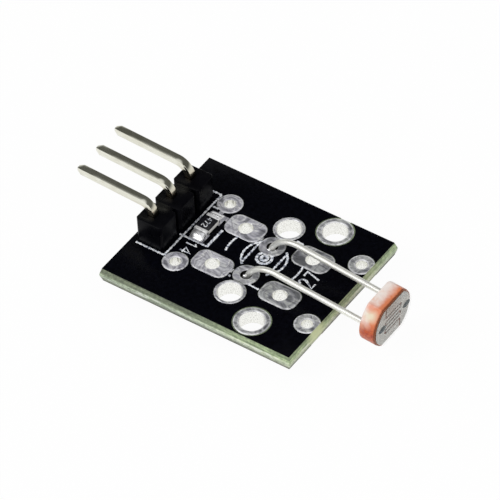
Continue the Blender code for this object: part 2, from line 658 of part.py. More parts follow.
def make_sensor_head(ceramic, film_surface, metal, paste, clear):
    base = finish("sensor_base", head_layer([
        (head_outline(BASE_ROUNDING), 0),
        (head_outline(BASE_ROUNDING * ROUND_SHARE), BASE_ROUNDING * ROUND_SHARE),
        (head_outline(0), BASE_ROUNDING),
        (head_outline(0), BASE_THICKNESS),
    ]), ceramic)
    outline = head_outline(FILM_INSET)
    film = finish("sensor_film", head_layer([(outline, FILM_LOW), (outline, FILM_HIGH)]), film_surface,
                  smooth=False)
    lacquer = finish("sensor_lacquer", head_layer([
        (head_outline(FILM_INSET), LACQUER_LOW),
        (head_outline(FILM_INSET), LACQUER_HIGH - LACQUER_ROUNDING),
        (head_outline(FILM_INSET + LACQUER_ROUNDING * ROUND_SHARE),
         LACQUER_HIGH - LACQUER_ROUNDING * ROUND_SHARE),
        (head_outline(FILM_INSET + LACQUER_ROUNDING), LACQUER_HIGH),
    ]), clear)
    for across, side in SIDES:
        passage = head_spot(across, LEAD_DIAMETER / 2 + SEAT_GAP)
        bore = cutter("bore_" + side, head_layer([(passage, -BASE_THICKNESS), (passage, LACQUER_LOW)]))
        electrode = make_electrode(side, across, metal)
        for layer in (base, film, electrode):
            combine(layer, bore)
        finish("sensor_dab_" + side, head_layer([
            (head_spot(across, DAB_RADIUS * width), LACQUER_LOW + DAB_HEIGHT * lift)
            for width, lift in DAB_PROFILE
        ]), paste)
        pocket = head_spot(across, DAB_RADIUS + SEAT_GAP)
        combine(lacquer, cutter("pocket_" + side, head_layer([
            (pocket, ELECTRODE_LOW), (pocket, LACQUER_LOW + DAB_HEIGHT + SEAT_GAP)])))


def lead_path(depth):
    """Side view of a lead, as (x, z): up through the board, over in an arch, and to the head's face."""
    centre = Vector((LEAD_X + LEAD_ARCH_RADIUS, BOARD_HIGH - depth))
    back = Vector((HEAD_X, HEAD_Z))
    to_back = back - centre
    lift_off = math.atan2(to_back.y, to_back.x) + math.acos(LEAD_ARCH_RADIUS / to_back.length)
    path = [Vector((LEAD_X, -LEAD_TAIL))]
    for i in range(ARC_STEPS + 1):
        angle = math.pi + (lift_off - math.pi) * i / ARC_STEPS
        path.append(centre + LEAD_ARCH_RADIUS * Vector((math.cos(angle), math.sin(angle))))
    path.append(back)
    inside = ELECTRODE_HIGH
    path.append(back + inside * Vector((math.cos(HEAD_TILT), -math.sin(HEAD_TILT))))
    return path


def make_lead(side, across, depth, wire, solder):
    y = across * LEAD_SPACING / 2
    name = "sensor_lead_" + side
    curve = bpy.data.curves.new(name, "CURVE")
    curve.dimensions = "3D"
    curve.bevel_depth = LEAD_DIAMETER / 2
    curve.bevel_resolution = 4
    curve.use_fill_caps = True
    path = lead_path(depth)
    spline = curve.splines.new("POLY")
    spline.points.add(len(path) - 1)
    for point, place in zip(spline.points, path):
        point.co = (place.x, y, place.y, 1)
    curve.materials.append(wire)
    bpy.context.collection.objects.link(bpy.data.objects.new(name, curve))
    hole = (LEAD_HOLE_X, across * LEAD_HOLE_Y)
    joint = make_solder("lead_solder_" + side, hole, (LEAD_X, y), LEAD_DIAMETER / 2,
                        LEAD_PAD_RADIUS, solder)
    combine(joint, through("lead_passage_" + side, circle(LEAD_DIAMETER / 2 + SEAT_GAP, SMALL_SEGMENTS),
                           (LEAD_X, y)))


def build():
    for old in list(bpy.data.objects):
        bpy.data.objects.remove(old, do_unlink=True)
    tin = material("tin", (0.6, 0.59, 0.62), 0.35, 1.0)
    solder = material("solder", (0.76, 0.76, 0.77), 0.25, 1.0)
    ceramic = material("chip_ceramic", (0.85, 0.84, 0.8), 0.5)
    mask = make_board(material("laminate", (0.52, 0.57, 0.36), 0.6),
                      material("solder_mask", (0.01, 0.01, 0.015), 0.3))
    make_eyelets(tin)
    make_tracks(tin, mask)
    make_header(material("header_plastic", (0.012, 0.012, 0.014), 0.4),
                material("pin_plating", (0.72, 0.71, 0.64), 0.3, 1.0), solder)
    make_resistor(ceramic, material("overcoat", (0.02, 0.02, 0.02), 0.3), tin, solder, mask)
    make_sensor_head(material("sensor_ceramic", (0.86, 0.62, 0.5), 0.4),
                     material("sensor_film", (0.33, 0.11, 0.04), 0.5),
                     material("electrode", (0.6, 0.59, 0.58), 0.45, 0.6),
                     material("conductive_paste", (0.35, 0.36, 0.37), 0.5, 0.5),
                     material("lacquer", (0.9, 0.88, 0.85), 0.1, 0.0, 0.35))
    wire = material("lead_wire", (0.82, 0.81, 0.76), 0.25, 1.0)
    make_lead("near", -1, NEAR_LEAD_DEPTH, wire, solder)
    make_lead("far", 1, FAR_LEAD_DEPTH, wire, solder)


build()
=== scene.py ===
# Light sensor module, dressed for a product photo on a white table
import math

import bmesh
import bpy
from mathutils import Matrix, Vector


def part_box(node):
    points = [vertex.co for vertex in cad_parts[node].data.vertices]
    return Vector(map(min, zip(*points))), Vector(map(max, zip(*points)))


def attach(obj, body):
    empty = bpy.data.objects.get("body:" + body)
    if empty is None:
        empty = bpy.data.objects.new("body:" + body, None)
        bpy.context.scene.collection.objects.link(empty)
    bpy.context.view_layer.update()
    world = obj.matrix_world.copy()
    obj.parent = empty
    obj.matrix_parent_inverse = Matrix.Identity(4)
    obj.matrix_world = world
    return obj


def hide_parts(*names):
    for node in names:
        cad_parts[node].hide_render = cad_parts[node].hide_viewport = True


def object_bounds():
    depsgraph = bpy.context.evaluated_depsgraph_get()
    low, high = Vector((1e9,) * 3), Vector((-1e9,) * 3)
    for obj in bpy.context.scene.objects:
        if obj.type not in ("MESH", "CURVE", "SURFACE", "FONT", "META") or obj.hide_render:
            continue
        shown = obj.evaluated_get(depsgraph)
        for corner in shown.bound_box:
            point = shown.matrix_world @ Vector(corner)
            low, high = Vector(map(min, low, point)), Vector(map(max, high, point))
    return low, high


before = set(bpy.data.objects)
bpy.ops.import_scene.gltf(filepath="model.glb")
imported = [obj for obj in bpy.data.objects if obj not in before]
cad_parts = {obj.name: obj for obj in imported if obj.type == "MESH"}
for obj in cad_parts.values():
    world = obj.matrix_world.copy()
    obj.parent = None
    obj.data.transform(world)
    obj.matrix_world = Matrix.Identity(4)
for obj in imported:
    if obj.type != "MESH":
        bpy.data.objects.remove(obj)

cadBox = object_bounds()
mm = 0.001
mergeStep = 0.0005 * mm  # points closer than this are one point
hair = 1e-6  # smaller differences don't count
sides = ((-1, "near"), (1, "far"))
print("frame loaded")


# Small helpers for modelling

def clearAll():
    if bpy.context.object and bpy.context.object.mode == "EDIT":
        bpy.ops.object.mode_set(mode="OBJECT")
    bpy.ops.object.select_all(action="DESELECT")


def choose(piece):
    clearAll()
    piece.select_set(True)
    bpy.context.view_layer.objects.active = piece


def selectAll():
    bpy.ops.mesh.select_all(action="SELECT")


def startEdit(selectMode="VERT"):
    # opens the active piece for editing, with all of it selected
    bpy.ops.object.mode_set(mode="EDIT")
    bpy.ops.mesh.select_mode(type=selectMode)
    selectAll()


def pick(kind, test):
    # selects the faces, edges or verts that pass the test, and nothing else
    editMesh = bmesh.from_edit_mesh(bpy.context.object.data)
    for part in list(editMesh.verts) + list(editMesh.edges) + list(editMesh.faces):
        part.select = False
    for part in getattr(editMesh, kind):
        if test(part):
            part.select_set(True)
    bmesh.update_edit_mesh(bpy.context.object.data)


def isUpright(edge):
    along = edge.verts[1].co - edge.verts[0].co
    return abs(along.z) > 0.9 * along.length


def isSharp(edge, angle=40):
    return len(edge.link_faces) == 2 and edge.calc_face_angle() > math.radians(angle)


def selectedMiddle():
    # in the piece's own coordinates
    editMesh = bmesh.from_edit_mesh(bpy.context.object.data)
    chosen = [v.co for v in editMesh.verts if v.select]
    return sum(chosen, Vector()) / len(chosen)


def scaleTo(x, y, z, centre):
    bpy.ops.transform.resize(value=(x, y, z), center_override=centre)


def extrude(move, edgesOnly=False):
    tool = bpy.ops.mesh.extrude_edges_move if edgesOnly else bpy.ops.mesh.extrude_region_move
    tool(TRANSFORM_OT_translate={"value": move})


def closeUp():
    # merges doubles and points every face outwards
    selectAll()
    bpy.ops.mesh.remove_doubles(threshold=mergeStep)
    bpy.ops.mesh.normals_make_consistent(inside=False)
    bpy.ops.object.mode_set(mode="OBJECT")


def settle(piece):
    # puts the piece's place into its mesh
    choose(piece)
    bpy.ops.object.transform_apply(location=True, rotation=True, scale=True)


def useModifier(piece, kind, **values):
    bpy.context.view_layer.objects.active = piece
    modifier = piece.modifiers.new(kind.title(), kind)
    for key, value in values.items():
        setattr(modifier, key, value)
    bpy.ops.object.modifier_apply(modifier=modifier.name)


def joinAll(parts, name):
    choose(parts[0])
    for part in parts[1:]:
        part.select_set(True)
    bpy.ops.object.join()
    parts[0].name = name
    settle(parts[0])
    return parts[0]


def combine(piece, tool, operation, **values):
    useModifier(piece, "BOOLEAN", operation=operation, solver="EXACT", object=tool, **values)
    bpy.data.objects.remove(tool)


def cutWith(piece, cutters):
    tool = joinAll(cutters, "tool") if len(cutters) > 1 else cutters[0]
    settle(tool)
    combine(piece, tool, "DIFFERENCE", use_self=True)


def dress(piece, finish, nodes=(), smoothAngle=35):
    # gives a finished piece its finish, and ties it to the frame
    settle(piece)
    piece.data.materials.clear()
    piece.data.materials.append(finish)
    bpy.ops.object.shade_smooth_by_angle(angle=math.radians(smoothAngle))
    if nodes:
        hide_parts(*nodes)
    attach(piece, "root")


def startPiece(primitive, selectMode="VERT", location=(0, 0, 0), **values):
    # adds a primitive with nothing else selected, and opens it for editing
    clearAll()
    primitive(location=location, **values)
    startEdit(selectMode)
    return bpy.context.object


def startBlock(size, middle):
    piece = startPiece(bpy.ops.mesh.primitive_cube_add, "EDGE", middle, size=1)
    scaleTo(*size, middle)
    return piece


def drawThrough(rings, edgesOnly=False):
    # extrudes the selection from the first of the (centreX, centreY, z, radius) rings through the others
    for (x, y, z, radius), (nextX, nextY, nextZ, nextRadius) in zip(rings, rings[1:]):
        extrude((nextX - x, nextY - y, nextZ - z), edgesOnly)
        share = nextRadius / radius
        if abs(share - 1) > hair:
            scaleTo(share, share, 1, (nextX, nextY, nextZ))


def roundSolid(name, rings, segments, hollow=False):
    # a hollow one is a tube whose last ring meets the first
    piece = startPiece(bpy.ops.mesh.primitive_circle_add, vertices=segments, radius=rings[0][3],
                       fill_type="NOTHING" if hollow else "NGON")
    piece.name = name
    bpy.ops.transform.translate(value=rings[0][:3])
    drawThrough(rings, hollow)
    closeUp()
    return piece


# Small helpers for finishes

def addNode(tree, kind, inputs=(), **values):
    # inputs gives each named or numbered socket a value, or another node's output
    node = tree.nodes.new("ShaderNode" + kind)
    for key, value in values.items():
        setattr(node, key, value)
    for key, source in dict(inputs).items():
        if isinstance(source, bpy.types.NodeSocket):
            tree.links.new(source, node.inputs[key])
        else:
            node.inputs[key].default_value = source
    return node


def newFinish(name, sockets=()):
    # sockets are the values that are the same all over the surface
    finish = bpy.data.materials.new(name)
    finish.use_nodes = True
    for key, value in dict(sockets).items():
        finish.node_tree.nodes["Principled BSDF"].inputs[key].default_value = value
    return finish, finish.node_tree


def complete(finish, color, roughness, height, depth, strength):
    # wires up the colour, the roughness where it varies, and a bump that is so many millimetres deep
    tree = finish.node_tree
    bump = addNode(tree, "Bump", {"Height": height, "Distance": depth * mm, "Strength": strength})
    inputs = tree.nodes["Principled BSDF"].inputs
    tree.links.new(color, inputs["Base Color"])
    tree.links.new(bump.outputs["Normal"], inputs["Normal"])
    if roughness is not None:
        tree.links.new(roughness, inputs["Roughness"])
    return finish


def points(tree, stretch=(1, 1, 1), shift=(0, 0, 0)):
    # object coordinates in millimetres
    coords = addNode(tree, "TexCoord").outputs["Object"]
    scale = [1000 * share for share in stretch]
    return addNode(tree, "Mapping", {"Vector": coords, "Scale": scale, "Location": shift}).outputs["Vector"]


def noise(tree, size, detail=3.0, rough=0.55, swirl=0.0, **place):
    # size is in millimetres, before the pattern is stretched
    values = {"Vector": points(tree, **place), "Scale": 1 / size, "Detail": detail, "Roughness": rough,
              "Distortion": swirl}
    return addNode(tree, "TexNoise", values).outputs["Fac"]


def ramp(value, *stops):
    # stops are (place, red, green, blue)
    node = addNode(value.id_data, "ValToRGB", {"Fac": value})
    stopList = node.color_ramp.elements
    while len(stopList) < len(stops):
        stopList.new(0.5)
    for stop, (place, *color) in zip(stopList, stops):
        stop.position = place
        stop.color = (*color, 1)
    return node.outputs["Color"]


def span(value, low, high, fromLow=0.3, fromHigh=0.7):
    # spreads a value over a new span
    values = {"Value": value, "From Min": fromLow, "From Max": fromHigh, "To Min": low, "To Max": high}
    return addNode(value.id_data, "MapRange", values).outputs["Result"]


def blend(factor, first, second, mode="MIX"):
    # sockets 6 and 7 take the two colours; the second may be a plain one
    inputs = {"Factor": factor, 6: first, 7: (*second, 1) if isinstance(second, tuple) else second}
    return addNode(first.id_data, "Mix", inputs, data_type="RGBA", blend_type=mode).outputs[2]


def calculate(operation, first, second=0.0):
    return addNode(first.id_data, "Math", {0: first, 1: second}, operation=operation).outputs[0]


def multiply(first, second):
    return calculate("MULTIPLY", first, second)


def compare(operation, first, second):
    return addNode(first.id_data, "VectorMath", {0: first, 1: second}, operation=operation).outputs["Value"]


def axisValue(tree, axis):
    return addNode(tree, "SeparateXYZ", {"Vector": points(tree)}).outputs[axis]


def farFrom(tree, place):
    # distance in millimetres from a point
    return compare("DISTANCE", points(tree), place)


def alongLine(tree, direction, start):
    # distance in millimetres past a start point, along a direction
    offset = Vector(direction).dot(Vector(start))
    return calculate("SUBTRACT", compare("DOT_PRODUCT", points(tree), direction), offset)


def turnedTo(tree, direction):
    # how far a surface faces along a direction, either way
    normal = addNode(tree, "NewGeometry").outputs["Normal"]
    return calculate("ABSOLUTE", compare("DOT_PRODUCT", normal, direction))


# Finishes

plainFinishes = {  # one noise each for colour, roughness and bump; the housing's bump has a finer one
    "wettedCap": {
        "sockets": {"Metallic": 0.3}, "roughness": (0.2, 0.4), "bump": (0.05, 0.5),
        "noise": {"size": 0.4, "swirl": 0.8, "shift": (1.3, 0.4, 0)},
        "colors": [(0.32, 0.42, 0.42, 0.44), (0.44, 0.92, 0.92, 0.93), (0.56, 1, 1, 1)]},
    "brightSolder": {
        "sockets": {"Metallic": 0.75}, "roughness": (0.14, 0.28), "bump": (0.06, 0.5),
        "noise": {"size": 0.55, "detail": 2, "rough": 0.5, "swirl": 0.6, "shift": (0.6, 2.2, 0.4)},
        "colors": [(0.3, 0.72, 0.72, 0.75), (0.6, 0.98, 0.98, 0.99)]},
    "tinnedWire": {
        "sockets": {"Metallic": 0.65}, "roughness": (0.28, 0.42), "bump": (0.004, 0.2),
        "noise": {"size": 0.12, "rough": 0.6, "stretch": (0.1, 1.4, 1.4)},
        "colors": [(0.3, 0.82, 0.82, 0.77), (0.7, 0.97, 0.97, 0.92)]},
    "blackHousing": {
        "sockets": {"Specular IOR Level": 0.065}, "roughness": (0.22, 0.36), "bump": (0.005, 0.35),
        "noise": {"size": 1.3}, "bumpNoise": {"size": 0.09, "rough": 0.6},
        "colors": [(0.3, 0.0006, 0.0006, 0.0014), (0.7, 0.002, 0.002, 0.0035)]},
    "chipCeramic": {
        "sockets": {"Roughness": 0.5}, "bump": (0.006, 0.3), "noise": {"size": 0.12, "detail": 4},
        "colors": [(0.3, 0.72, 0.71, 0.68), (0.7, 0.86, 0.85, 0.82)]},
    "blackGlaze": {
        "roughness": (0.22, 0.36), "bump": (0.01, 0.3), "noise": {"size": 0.15, "detail": 4},
        "colors": [(0.3, 0.005, 0.005, 0.008), (0.7, 0.013, 0.013, 0.018)]},
    "silverPaste": {
        "sockets": {"Metallic": 0.3, "Roughness": 0.5}, "bump": (0.02, 0.5),
        "noise": {"size": 0.1, "detail": 4},
        "colors": [(0.3, 0.02, 0.035, 0.042), (0.7, 0.07, 0.095, 0.105)]},
    "clearLacquer": {
        "sockets": {"Alpha": 0.07}, "roughness": (0.08, 0.2), "bump": (0.02, 0.3), "noise": {"size": 0.8},
        "colors": [(0.3, 0.66, 0.6, 0.54), (0.7, 0.8, 0.77, 0.72)]},
}


def makePlainFinish(name, values):
    finish, tree = newFinish(name, values.get("sockets", ()))
    pattern = noise(tree, **values["noise"])
    height = noise(tree, **values["bumpNoise"]) if "bumpNoise" in values else pattern
    rough = span(pattern, *values["roughness"]) if "roughness" in values else None
    return complete(finish, ramp(pattern, *values["colors"]), rough, height, *values["bump"])


def makeMaskFinish():
    finish, tree = newFinish("blackMask", {"Specular IOR Level": 0.045})
    weave = noise(tree, 0.9, 2, stretch=(2.2, 0.35, 1))
    cross = noise(tree, 0.9, 2, stretch=(0.35, 2.2, 1))
    speck = noise(tree, 0.35, 4)
    color = ramp(speck, (0.35, 0.0008, 0.0008, 0.002), (0.7, 0.0016, 0.0018, 0.0042))
    return complete(finish, color, span(speck, 0.22, 0.34), blend(0.5, weave, cross), 0.01, 0.35)


def makeLaminateFinish():
    # milled slopes are sage green, the broken web is paler, and layers of glass cloth run round the edge
    finish, tree = newFinish("glassLaminate")
    height = span(axisValue(tree, "Z"), 0, 1, 0.05, 1.3)
    leftEnd = ramp(height, (0.0, 0.12, 0.13, 0.10), (0.2, 0.17, 0.19, 0.15), (0.38, 0.36, 0.40, 0.34),
                   (0.60, 0.46, 0.53, 0.41), (0.66, 0.155, 0.18, 0.125), (1.0, 0.135, 0.155, 0.11))
    rightEnd = ramp(height, (0.0, 0.16, 0.17, 0.13), (0.2, 0.26, 0.28, 0.22), (0.38, 0.50, 0.54, 0.44),
                    (0.58, 0.54, 0.61, 0.44), (0.68, 0.29, 0.36, 0.22), (1.0, 0.25, 0.31, 0.19))
    color = blend(span(axisValue(tree, "X"), 0, 1, -1, 8), leftEnd, rightEnd)
    layers = noise(tree, 0.5, 3, 0.65, stretch=(0.1, 0.1, 3.2))
    fibers = noise(tree, 0.16, 4, 0.7, stretch=(0.5, 0.5, 1.6))
    mottle = noise(tree, 0.3, 4, 0.75, shift=(0.7, 3.3, 0))
    for factor, pattern, stops in (
            (0.85, layers, [(0.34, 0.24, 0.26, 0.22), (0.5, 0.5, 0.5, 0.5), (0.66, 0.8, 0.8, 0.75)]),
            (0.5, fibers, [(0.35, 0.26, 0.28, 0.24), (0.65, 0.8, 0.8, 0.76)]),
            (0.55, mottle, [(0.38, 0.3, 0.31, 0.3), (0.5, 0.5, 0.5, 0.5), (0.6, 0.74, 0.75, 0.72)])):
        color = blend(factor, color, ramp(pattern, *stops), "OVERLAY")
    frayed = noise(tree, 0.55, 4, 0.7, 0.8, stretch=(0.3, 0.3, 1), shift=(5.2, 1.1, 0))
    onWeb = multiply(span(height, 1, 0, 0.58, 0.68), span(height, 0, 1, 0.3, 0.4))
    color = blend(multiply(onWeb, span(frayed, 0, 0.7, 0.5, 0.6)), color, (0.74, 0.78, 0.7))
    # the edge turns yellow-green round the last holes, more on the near side
    for y, strength in ((-3.78, 0.9), (3.78, 0.35)):
        yellowGreenPatch = span(farFrom(tree, (9.1, y, 1.1)), strength, 0, 0.5, 1.4)
        color = blend(yellowGreenPatch, color, (0.66, 0.73, 0.43))
    return complete(finish, color, span(fibers, 0.5, 0.75), fibers, 0.04, 0.6)


def makeTinFinish(name, barrelDark, barrelLight):
    # levelled tin: brush marks in broad swirls, a painted highlight on the rims, painted shade on two sides
    # of the barrels, and greyer towards the sensor's end
    finish, tree = newFinish(name)
    swirls = noise(tree, 1.5, 2, 0.45, 1.2, shift=(3.1, 0.7, 0))
    brushed = noise(tree, 0.5, 3, 0.6, 0.9, stretch=(0.35, 1.5, 1))
    grain = noise(tree, 0.1, 3, 0.65)
    clouds = ramp(swirls, (0.36, 0.30, 0.30, 0.33), (0.44, 0.68, 0.67, 0.75), (0.50, 1.0, 1.0, 1.0),
                  (0.56, 0.50, 0.49, 0.55), (0.64, 0.92, 0.92, 0.96))
    marks = ramp(brushed, (0.38, 0.66, 0.66, 0.69), (0.5, 0.88, 0.88, 0.9), (0.62, 1.1, 1.1, 1.1))
    specks = ramp(grain, (0.38, 0.6, 0.6, 0.6), (0.6, 1.0, 1.0, 1.0))
    bright = blend(0.9, clouds, marks, "MULTIPLY")
    bright = blend(0.3, bright, specks, "MULTIPLY")
    grey = blend(1.0, bright, (0.63, 0.65, 0.61), "MULTIPLY")
    color = blend(span(axisValue(tree, "X"), 0, 0.85, -1.5, 3.0), bright, grey)
    # the marked rims are painted near white: a painted highlight, broken up by the brush marks
    rimHighlightMask = addNode(tree, "Attribute", attribute_name="rim").outputs["Fac"]
    paintedRimHighlight = multiply(rimHighlightMask, span(brushed, 0.2, 0.85, 0.38, 0.56))
    color = blend(paintedRimHighlight, color, (0.97, 0.97, 1.0))
    barrel = ramp(grain, (0.32, *barrelDark), (0.56, *barrelLight))
    # painted shade on two sides of each hole but the last
    paintedSideShade = span(turnedTo(tree, (0.797, 0.605, 0)), 0, 0.7, 0.84, 0.98)
    paintedSideShade = multiply(paintedSideShade, span(axisValue(tree, "X"), 1, 0, 7.2, 7.4))
    paintedSideShade = multiply(paintedSideShade, span(swirls, 0.3, 1, 0.4, 0.56))
    barrel = blend(paintedSideShade, barrel, (0.12, 0.11, 0.09))
    inHole = span(axisValue(tree, "Z"), 1, 0, 1.28, 1.32)
    metallic = span(inHole, 0.4, 1, 0, 1)
    tree.links.new(metallic, tree.nodes["Principled BSDF"].inputs["Metallic"])
    rough = multiply(span(brushed, 0.6, 1.1), span(inHole, 0.4, 0.2, 0, 1))
    color = blend(inHole, color, barrel)
    return complete(finish, color, rough, blend(0.4, swirls, brushed), 0.04, 0.45)


def makePinFinish():
    # bright plating with fine drawing lines, browner and darker low down, where the pin leaves the housing
    finish, tree = newFinish("platedPin", {"Metallic": 1})
    drawn = noise(tree, 0.07, 3, 0.6, stretch=(0.12, 1, 0.5))
    cloud = noise(tree, 1.1)
    color = blend(0.5, ramp(drawn, (0.3, 0.62, 0.61, 0.52), (0.7, 0.88, 0.88, 0.78)),
                  ramp(cloud, (0.35, 0.70, 0.69, 0.58), (0.65, 0.86, 0.86, 0.78)))
    lowerBrown = span(axisValue(tree, "Z"), 0.95, 0, 4.1, 4.95)
    color = blend(multiply(lowerBrown, span(cloud, 0.6, 1)), color, (0.33, 0.245, 0.13))
    return complete(finish, color, span(cloud, 0.12, 0.2), drawn, 0.002, 0.12)


def makeInkFinish():
    # thin, grainy print
    finish, tree = newFinish("whiteInk", {"Roughness": 0.65})
    thin = noise(tree, 0.15, 3, 0.7)
    color = ramp(thin, (0.36, 0.10, 0.12, 0.18), (0.43, 0.72, 0.78, 0.88), (0.5, 0.98, 0.99, 1.0))
    faded = ramp(noise(tree, 0.9, 2), (0.33, 0.72, 0.74, 0.8), (0.5, 1, 1, 1))
    color = blend(1.0, color, faded, "MULTIPLY")
    broken = noise(tree, 0.26, 2, 0.5, shift=(1.9, 0.2, 0))
    color = blend(span(broken, 0.75, 0, 0.38, 0.47), color, (0.06, 0.07, 0.12))
    return complete(finish, color, None, thin, 0.008, 0.4)


def makeSensorBodyFinish():
    # white ceramic under an uneven orange coat, which is deepest beside the face and low on the side, with a
    # pale painted highlight high on the near side
    finish, tree = newFinish("stainedCeramic",
                             {"Coat Weight": 0.1, "Coat Roughness": 0.12, "Specular IOR Level": 0.25})
    forward = alongLine(tree, (0.996, 0, -0.087), (12.27, 0, 2.06))
    height = axisValue(tree, "Z")
    patches = noise(tree, 1.2, 2, 0.45, 0.4, shift=(0.4, 1.3, 0.2))
    small = noise(tree, 0.3, shift=(2.1, 0.3, 1.7))
    mixed = blend(0.25, patches, small)
    wavy = blend(0.35, forward, span(mixed, 0, 1.4, 0.35, 0.65))
    coat = ramp(mixed, (0.38, 0.87, 0.50, 0.36), (0.46, 0.88, 0.64, 0.55), (0.52, 0.88, 0.73, 0.67),
                (0.62, 0.86, 0.78, 0.75))
    deep = ramp(small, (0.3, 0.32, 0.035, 0.008), (0.5, 0.52, 0.085, 0.022), (0.7, 0.62, 0.16, 0.04))
    low = multiply(span(height, 1, 0, 2.2, 3.1), span(wavy, 0.65, 1, 0.1, 0.5))
    bleached = multiply(span(height, 0, 0.62, 3.95, 4.15), span(forward, 1, 0, 0.7, 1.15))
    streaks = noise(tree, 0.6, 3, 0.6, 0.8, stretch=(0.7, 1.2, 1), shift=(0.9, 2.4, 0))
    for factor, color in (
            (span(wavy, 0, 0.95, 0.55, 0.95), (0.74, 0.20, 0.07)),
            # the pale cream patch high on the near side is a painted highlight
            (span(farFrom(tree, (13.1, -2.0, 3.5)), 0.85, 0, 0.15, 0.75), (0.84, 0.79, 0.60)),
            (low, deep),
            (multiply(bleached, span(streaks, 0.6, 1.45, 0.42, 0.58)), (0.97, 0.89, 0.83)),
            (span(farFrom(tree, (12.85, -1.52, 3.98)), 0.8, 0, 0.12, 0.6), (0.76, 0.24, 0.12)),
            (span(blend(0.12, forward, small), 0, 1, 1.16, 1.30), (0.24, 0.05, 0.012))):
        coat = blend(factor, coat, color)
    return complete(finish, coat, span(small, 0.28, 0.46), small, 0.012, 0.35)


def makeFilmFinish():
    finish, tree = newFinish("sensorFilm", {"Roughness": 0.55})
    grain = noise(tree, 0.07, 3, 0.7)
    color = ramp(grain, (0.3, 0.20, 0.085, 0.06), (0.7, 0.34, 0.18, 0.14))
    rimmed = span(farFrom(tree, (13.76, 0, 1.93)), 0, 1, 1.7, 1.95)  # richer where the metal stops
    return complete(finish, blend(rimmed, color, (0.26, 0.07, 0.02)), None, grain, 0.01, 0.4)


def makeElectrodeFinish():
    finish, tree = newFinish("evaporatedMetal", {"Metallic": 0.35})
    grain = noise(tree, 0.08, 4, 0.7)
    cloud = noise(tree, 0.9)
    color = blend(0.55, ramp(grain, (0.3, 0.36, 0.36, 0.34), (0.7, 0.56, 0.56, 0.53)),
                  ramp(cloud, (0.32, 0.33, 0.35, 0.34), (0.66, 0.60, 0.58, 0.54)))
    tanned = span(farFrom(tree, (13.6, -0.4, 3.6)), 0.8, 0, 0.4, 1.8)  # browner at the top
    color = blend(tanned, color, (0.30, 0.24, 0.20))
    return complete(finish, color, span(cloud, 0.4, 0.6), grain, 0.008, 0.4)


finishes = {name: makePlainFinish(name, values) for name, values in plainFinishes.items()}
maskFinish = makeMaskFinish()
laminateFinish = makeLaminateFinish()
tinFinish = makeTinFinish("levelledTin", (0.68, 0.68, 0.63), (0.95, 0.95, 0.91))
# the lead holes' barrels are painted near black: painted shade for the deep holes
paintedShadeHoleFinish = makeTinFinish("shadedTin", (0.03, 0.025, 0.02), (0.16, 0.15, 0.13))
pinFinish = makePinFinish()
inkFinish = makeInkFinish()
sensorBodyFinish = makeSensorBodyFinish()
filmFinish = makeFilmFinish()
electrodeFinish = makeElectrodeFinish()
print("finishes made")


# Hole pattern, read from the frame

holeSizes = {  # radius of the drilled hole and of the pad's rim, and the gap to the lacquer where it is wide
    "small": {"hole": 0.55 * mm, "pad": 1.07 * mm},
    "oblong": {"hole": 0.7 * mm, "pad": 1.14 * mm, "length": 3.4 * mm, "chamfer": 0.68 * mm,
               "corner": 0.3 * mm},
    "middle": {"hole": 1.12 * mm, "pad": 1.3 * mm},
    "mounting": {"hole": 1.13 * mm, "pad": 1.5 * mm, "clear": 0.1 * mm},
    "lead": {"hole": 0.55 * mm, "pad": 1.08 * mm},
    "header": {"hole": 0.5625 * mm, "pad": 0.8525 * mm},
}
mask = {"edge": 0.008 * mm, "clear": 0.03 * mm}  # the lacquer's own edge, and its usual gap to the metal


def readHoles():
    found = []
    for node in sorted(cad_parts):
        if "_eyelet_" not in node:
            continue
        kind = node.split("_eyelet_")[0]
        low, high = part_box(node)
        centre = (low + high) / 2
        if kind == "small" and "_right_" in node:
            centre.x = low.x + (high.y - low.y) / 2  # its outer side is cut off
        if kind == "lead":  # its outer side is cut off too
            inner = min(abs(low.y), abs(high.y))
            centre.y = math.copysign(inner + (high.x - low.x) / 2, centre.y)
        found.append({"node": node, "kind": kind, "x": centre.x, "y": centre.y})
    return found


holes = readHoles()


def padSolid(hole, grow, low, high):
    # a solid in the pad's outline, from one height to another
    size = holeSizes[hole["kind"]]
    middle = (hole["x"], hole["y"], (low + high) / 2)
    if hole["kind"] != "oblong":
        clearAll()
        bpy.ops.mesh.primitive_cylinder_add(vertices=72, radius=size["pad"] + grow, depth=high - low,
                                            location=middle)
        return bpy.context.object
    solid = startBlock((size["length"] + 2 * grow, 2 * (size["pad"] + grow), high - low), middle)
    pick("edges", isUpright)
    bpy.ops.mesh.bevel(offset=size["chamfer"] + grow * 0.6, offset_type="WIDTH", segments=1)
    pick("edges", isUpright)
    bpy.ops.mesh.bevel(offset=size["corner"], segments=4)
    return solid


# Board: laminate, lacquer on both faces

board = {"grooveInset": 0.2 * mm, "grooveDepth": 0.53 * mm, "webStep": 0.04 * mm, "webRagged": 0.035 * mm,
         "edgeParts": 90, "drillLength": 4 * mm}
boardLow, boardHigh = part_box("circuit_board")
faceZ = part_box("solder_mask_top")[1].z
bareMetal = ["resistor_land_near", "resistor_land_far", "track_lead_near", "track_lead_far", "track_oblong",
             "track_small"]


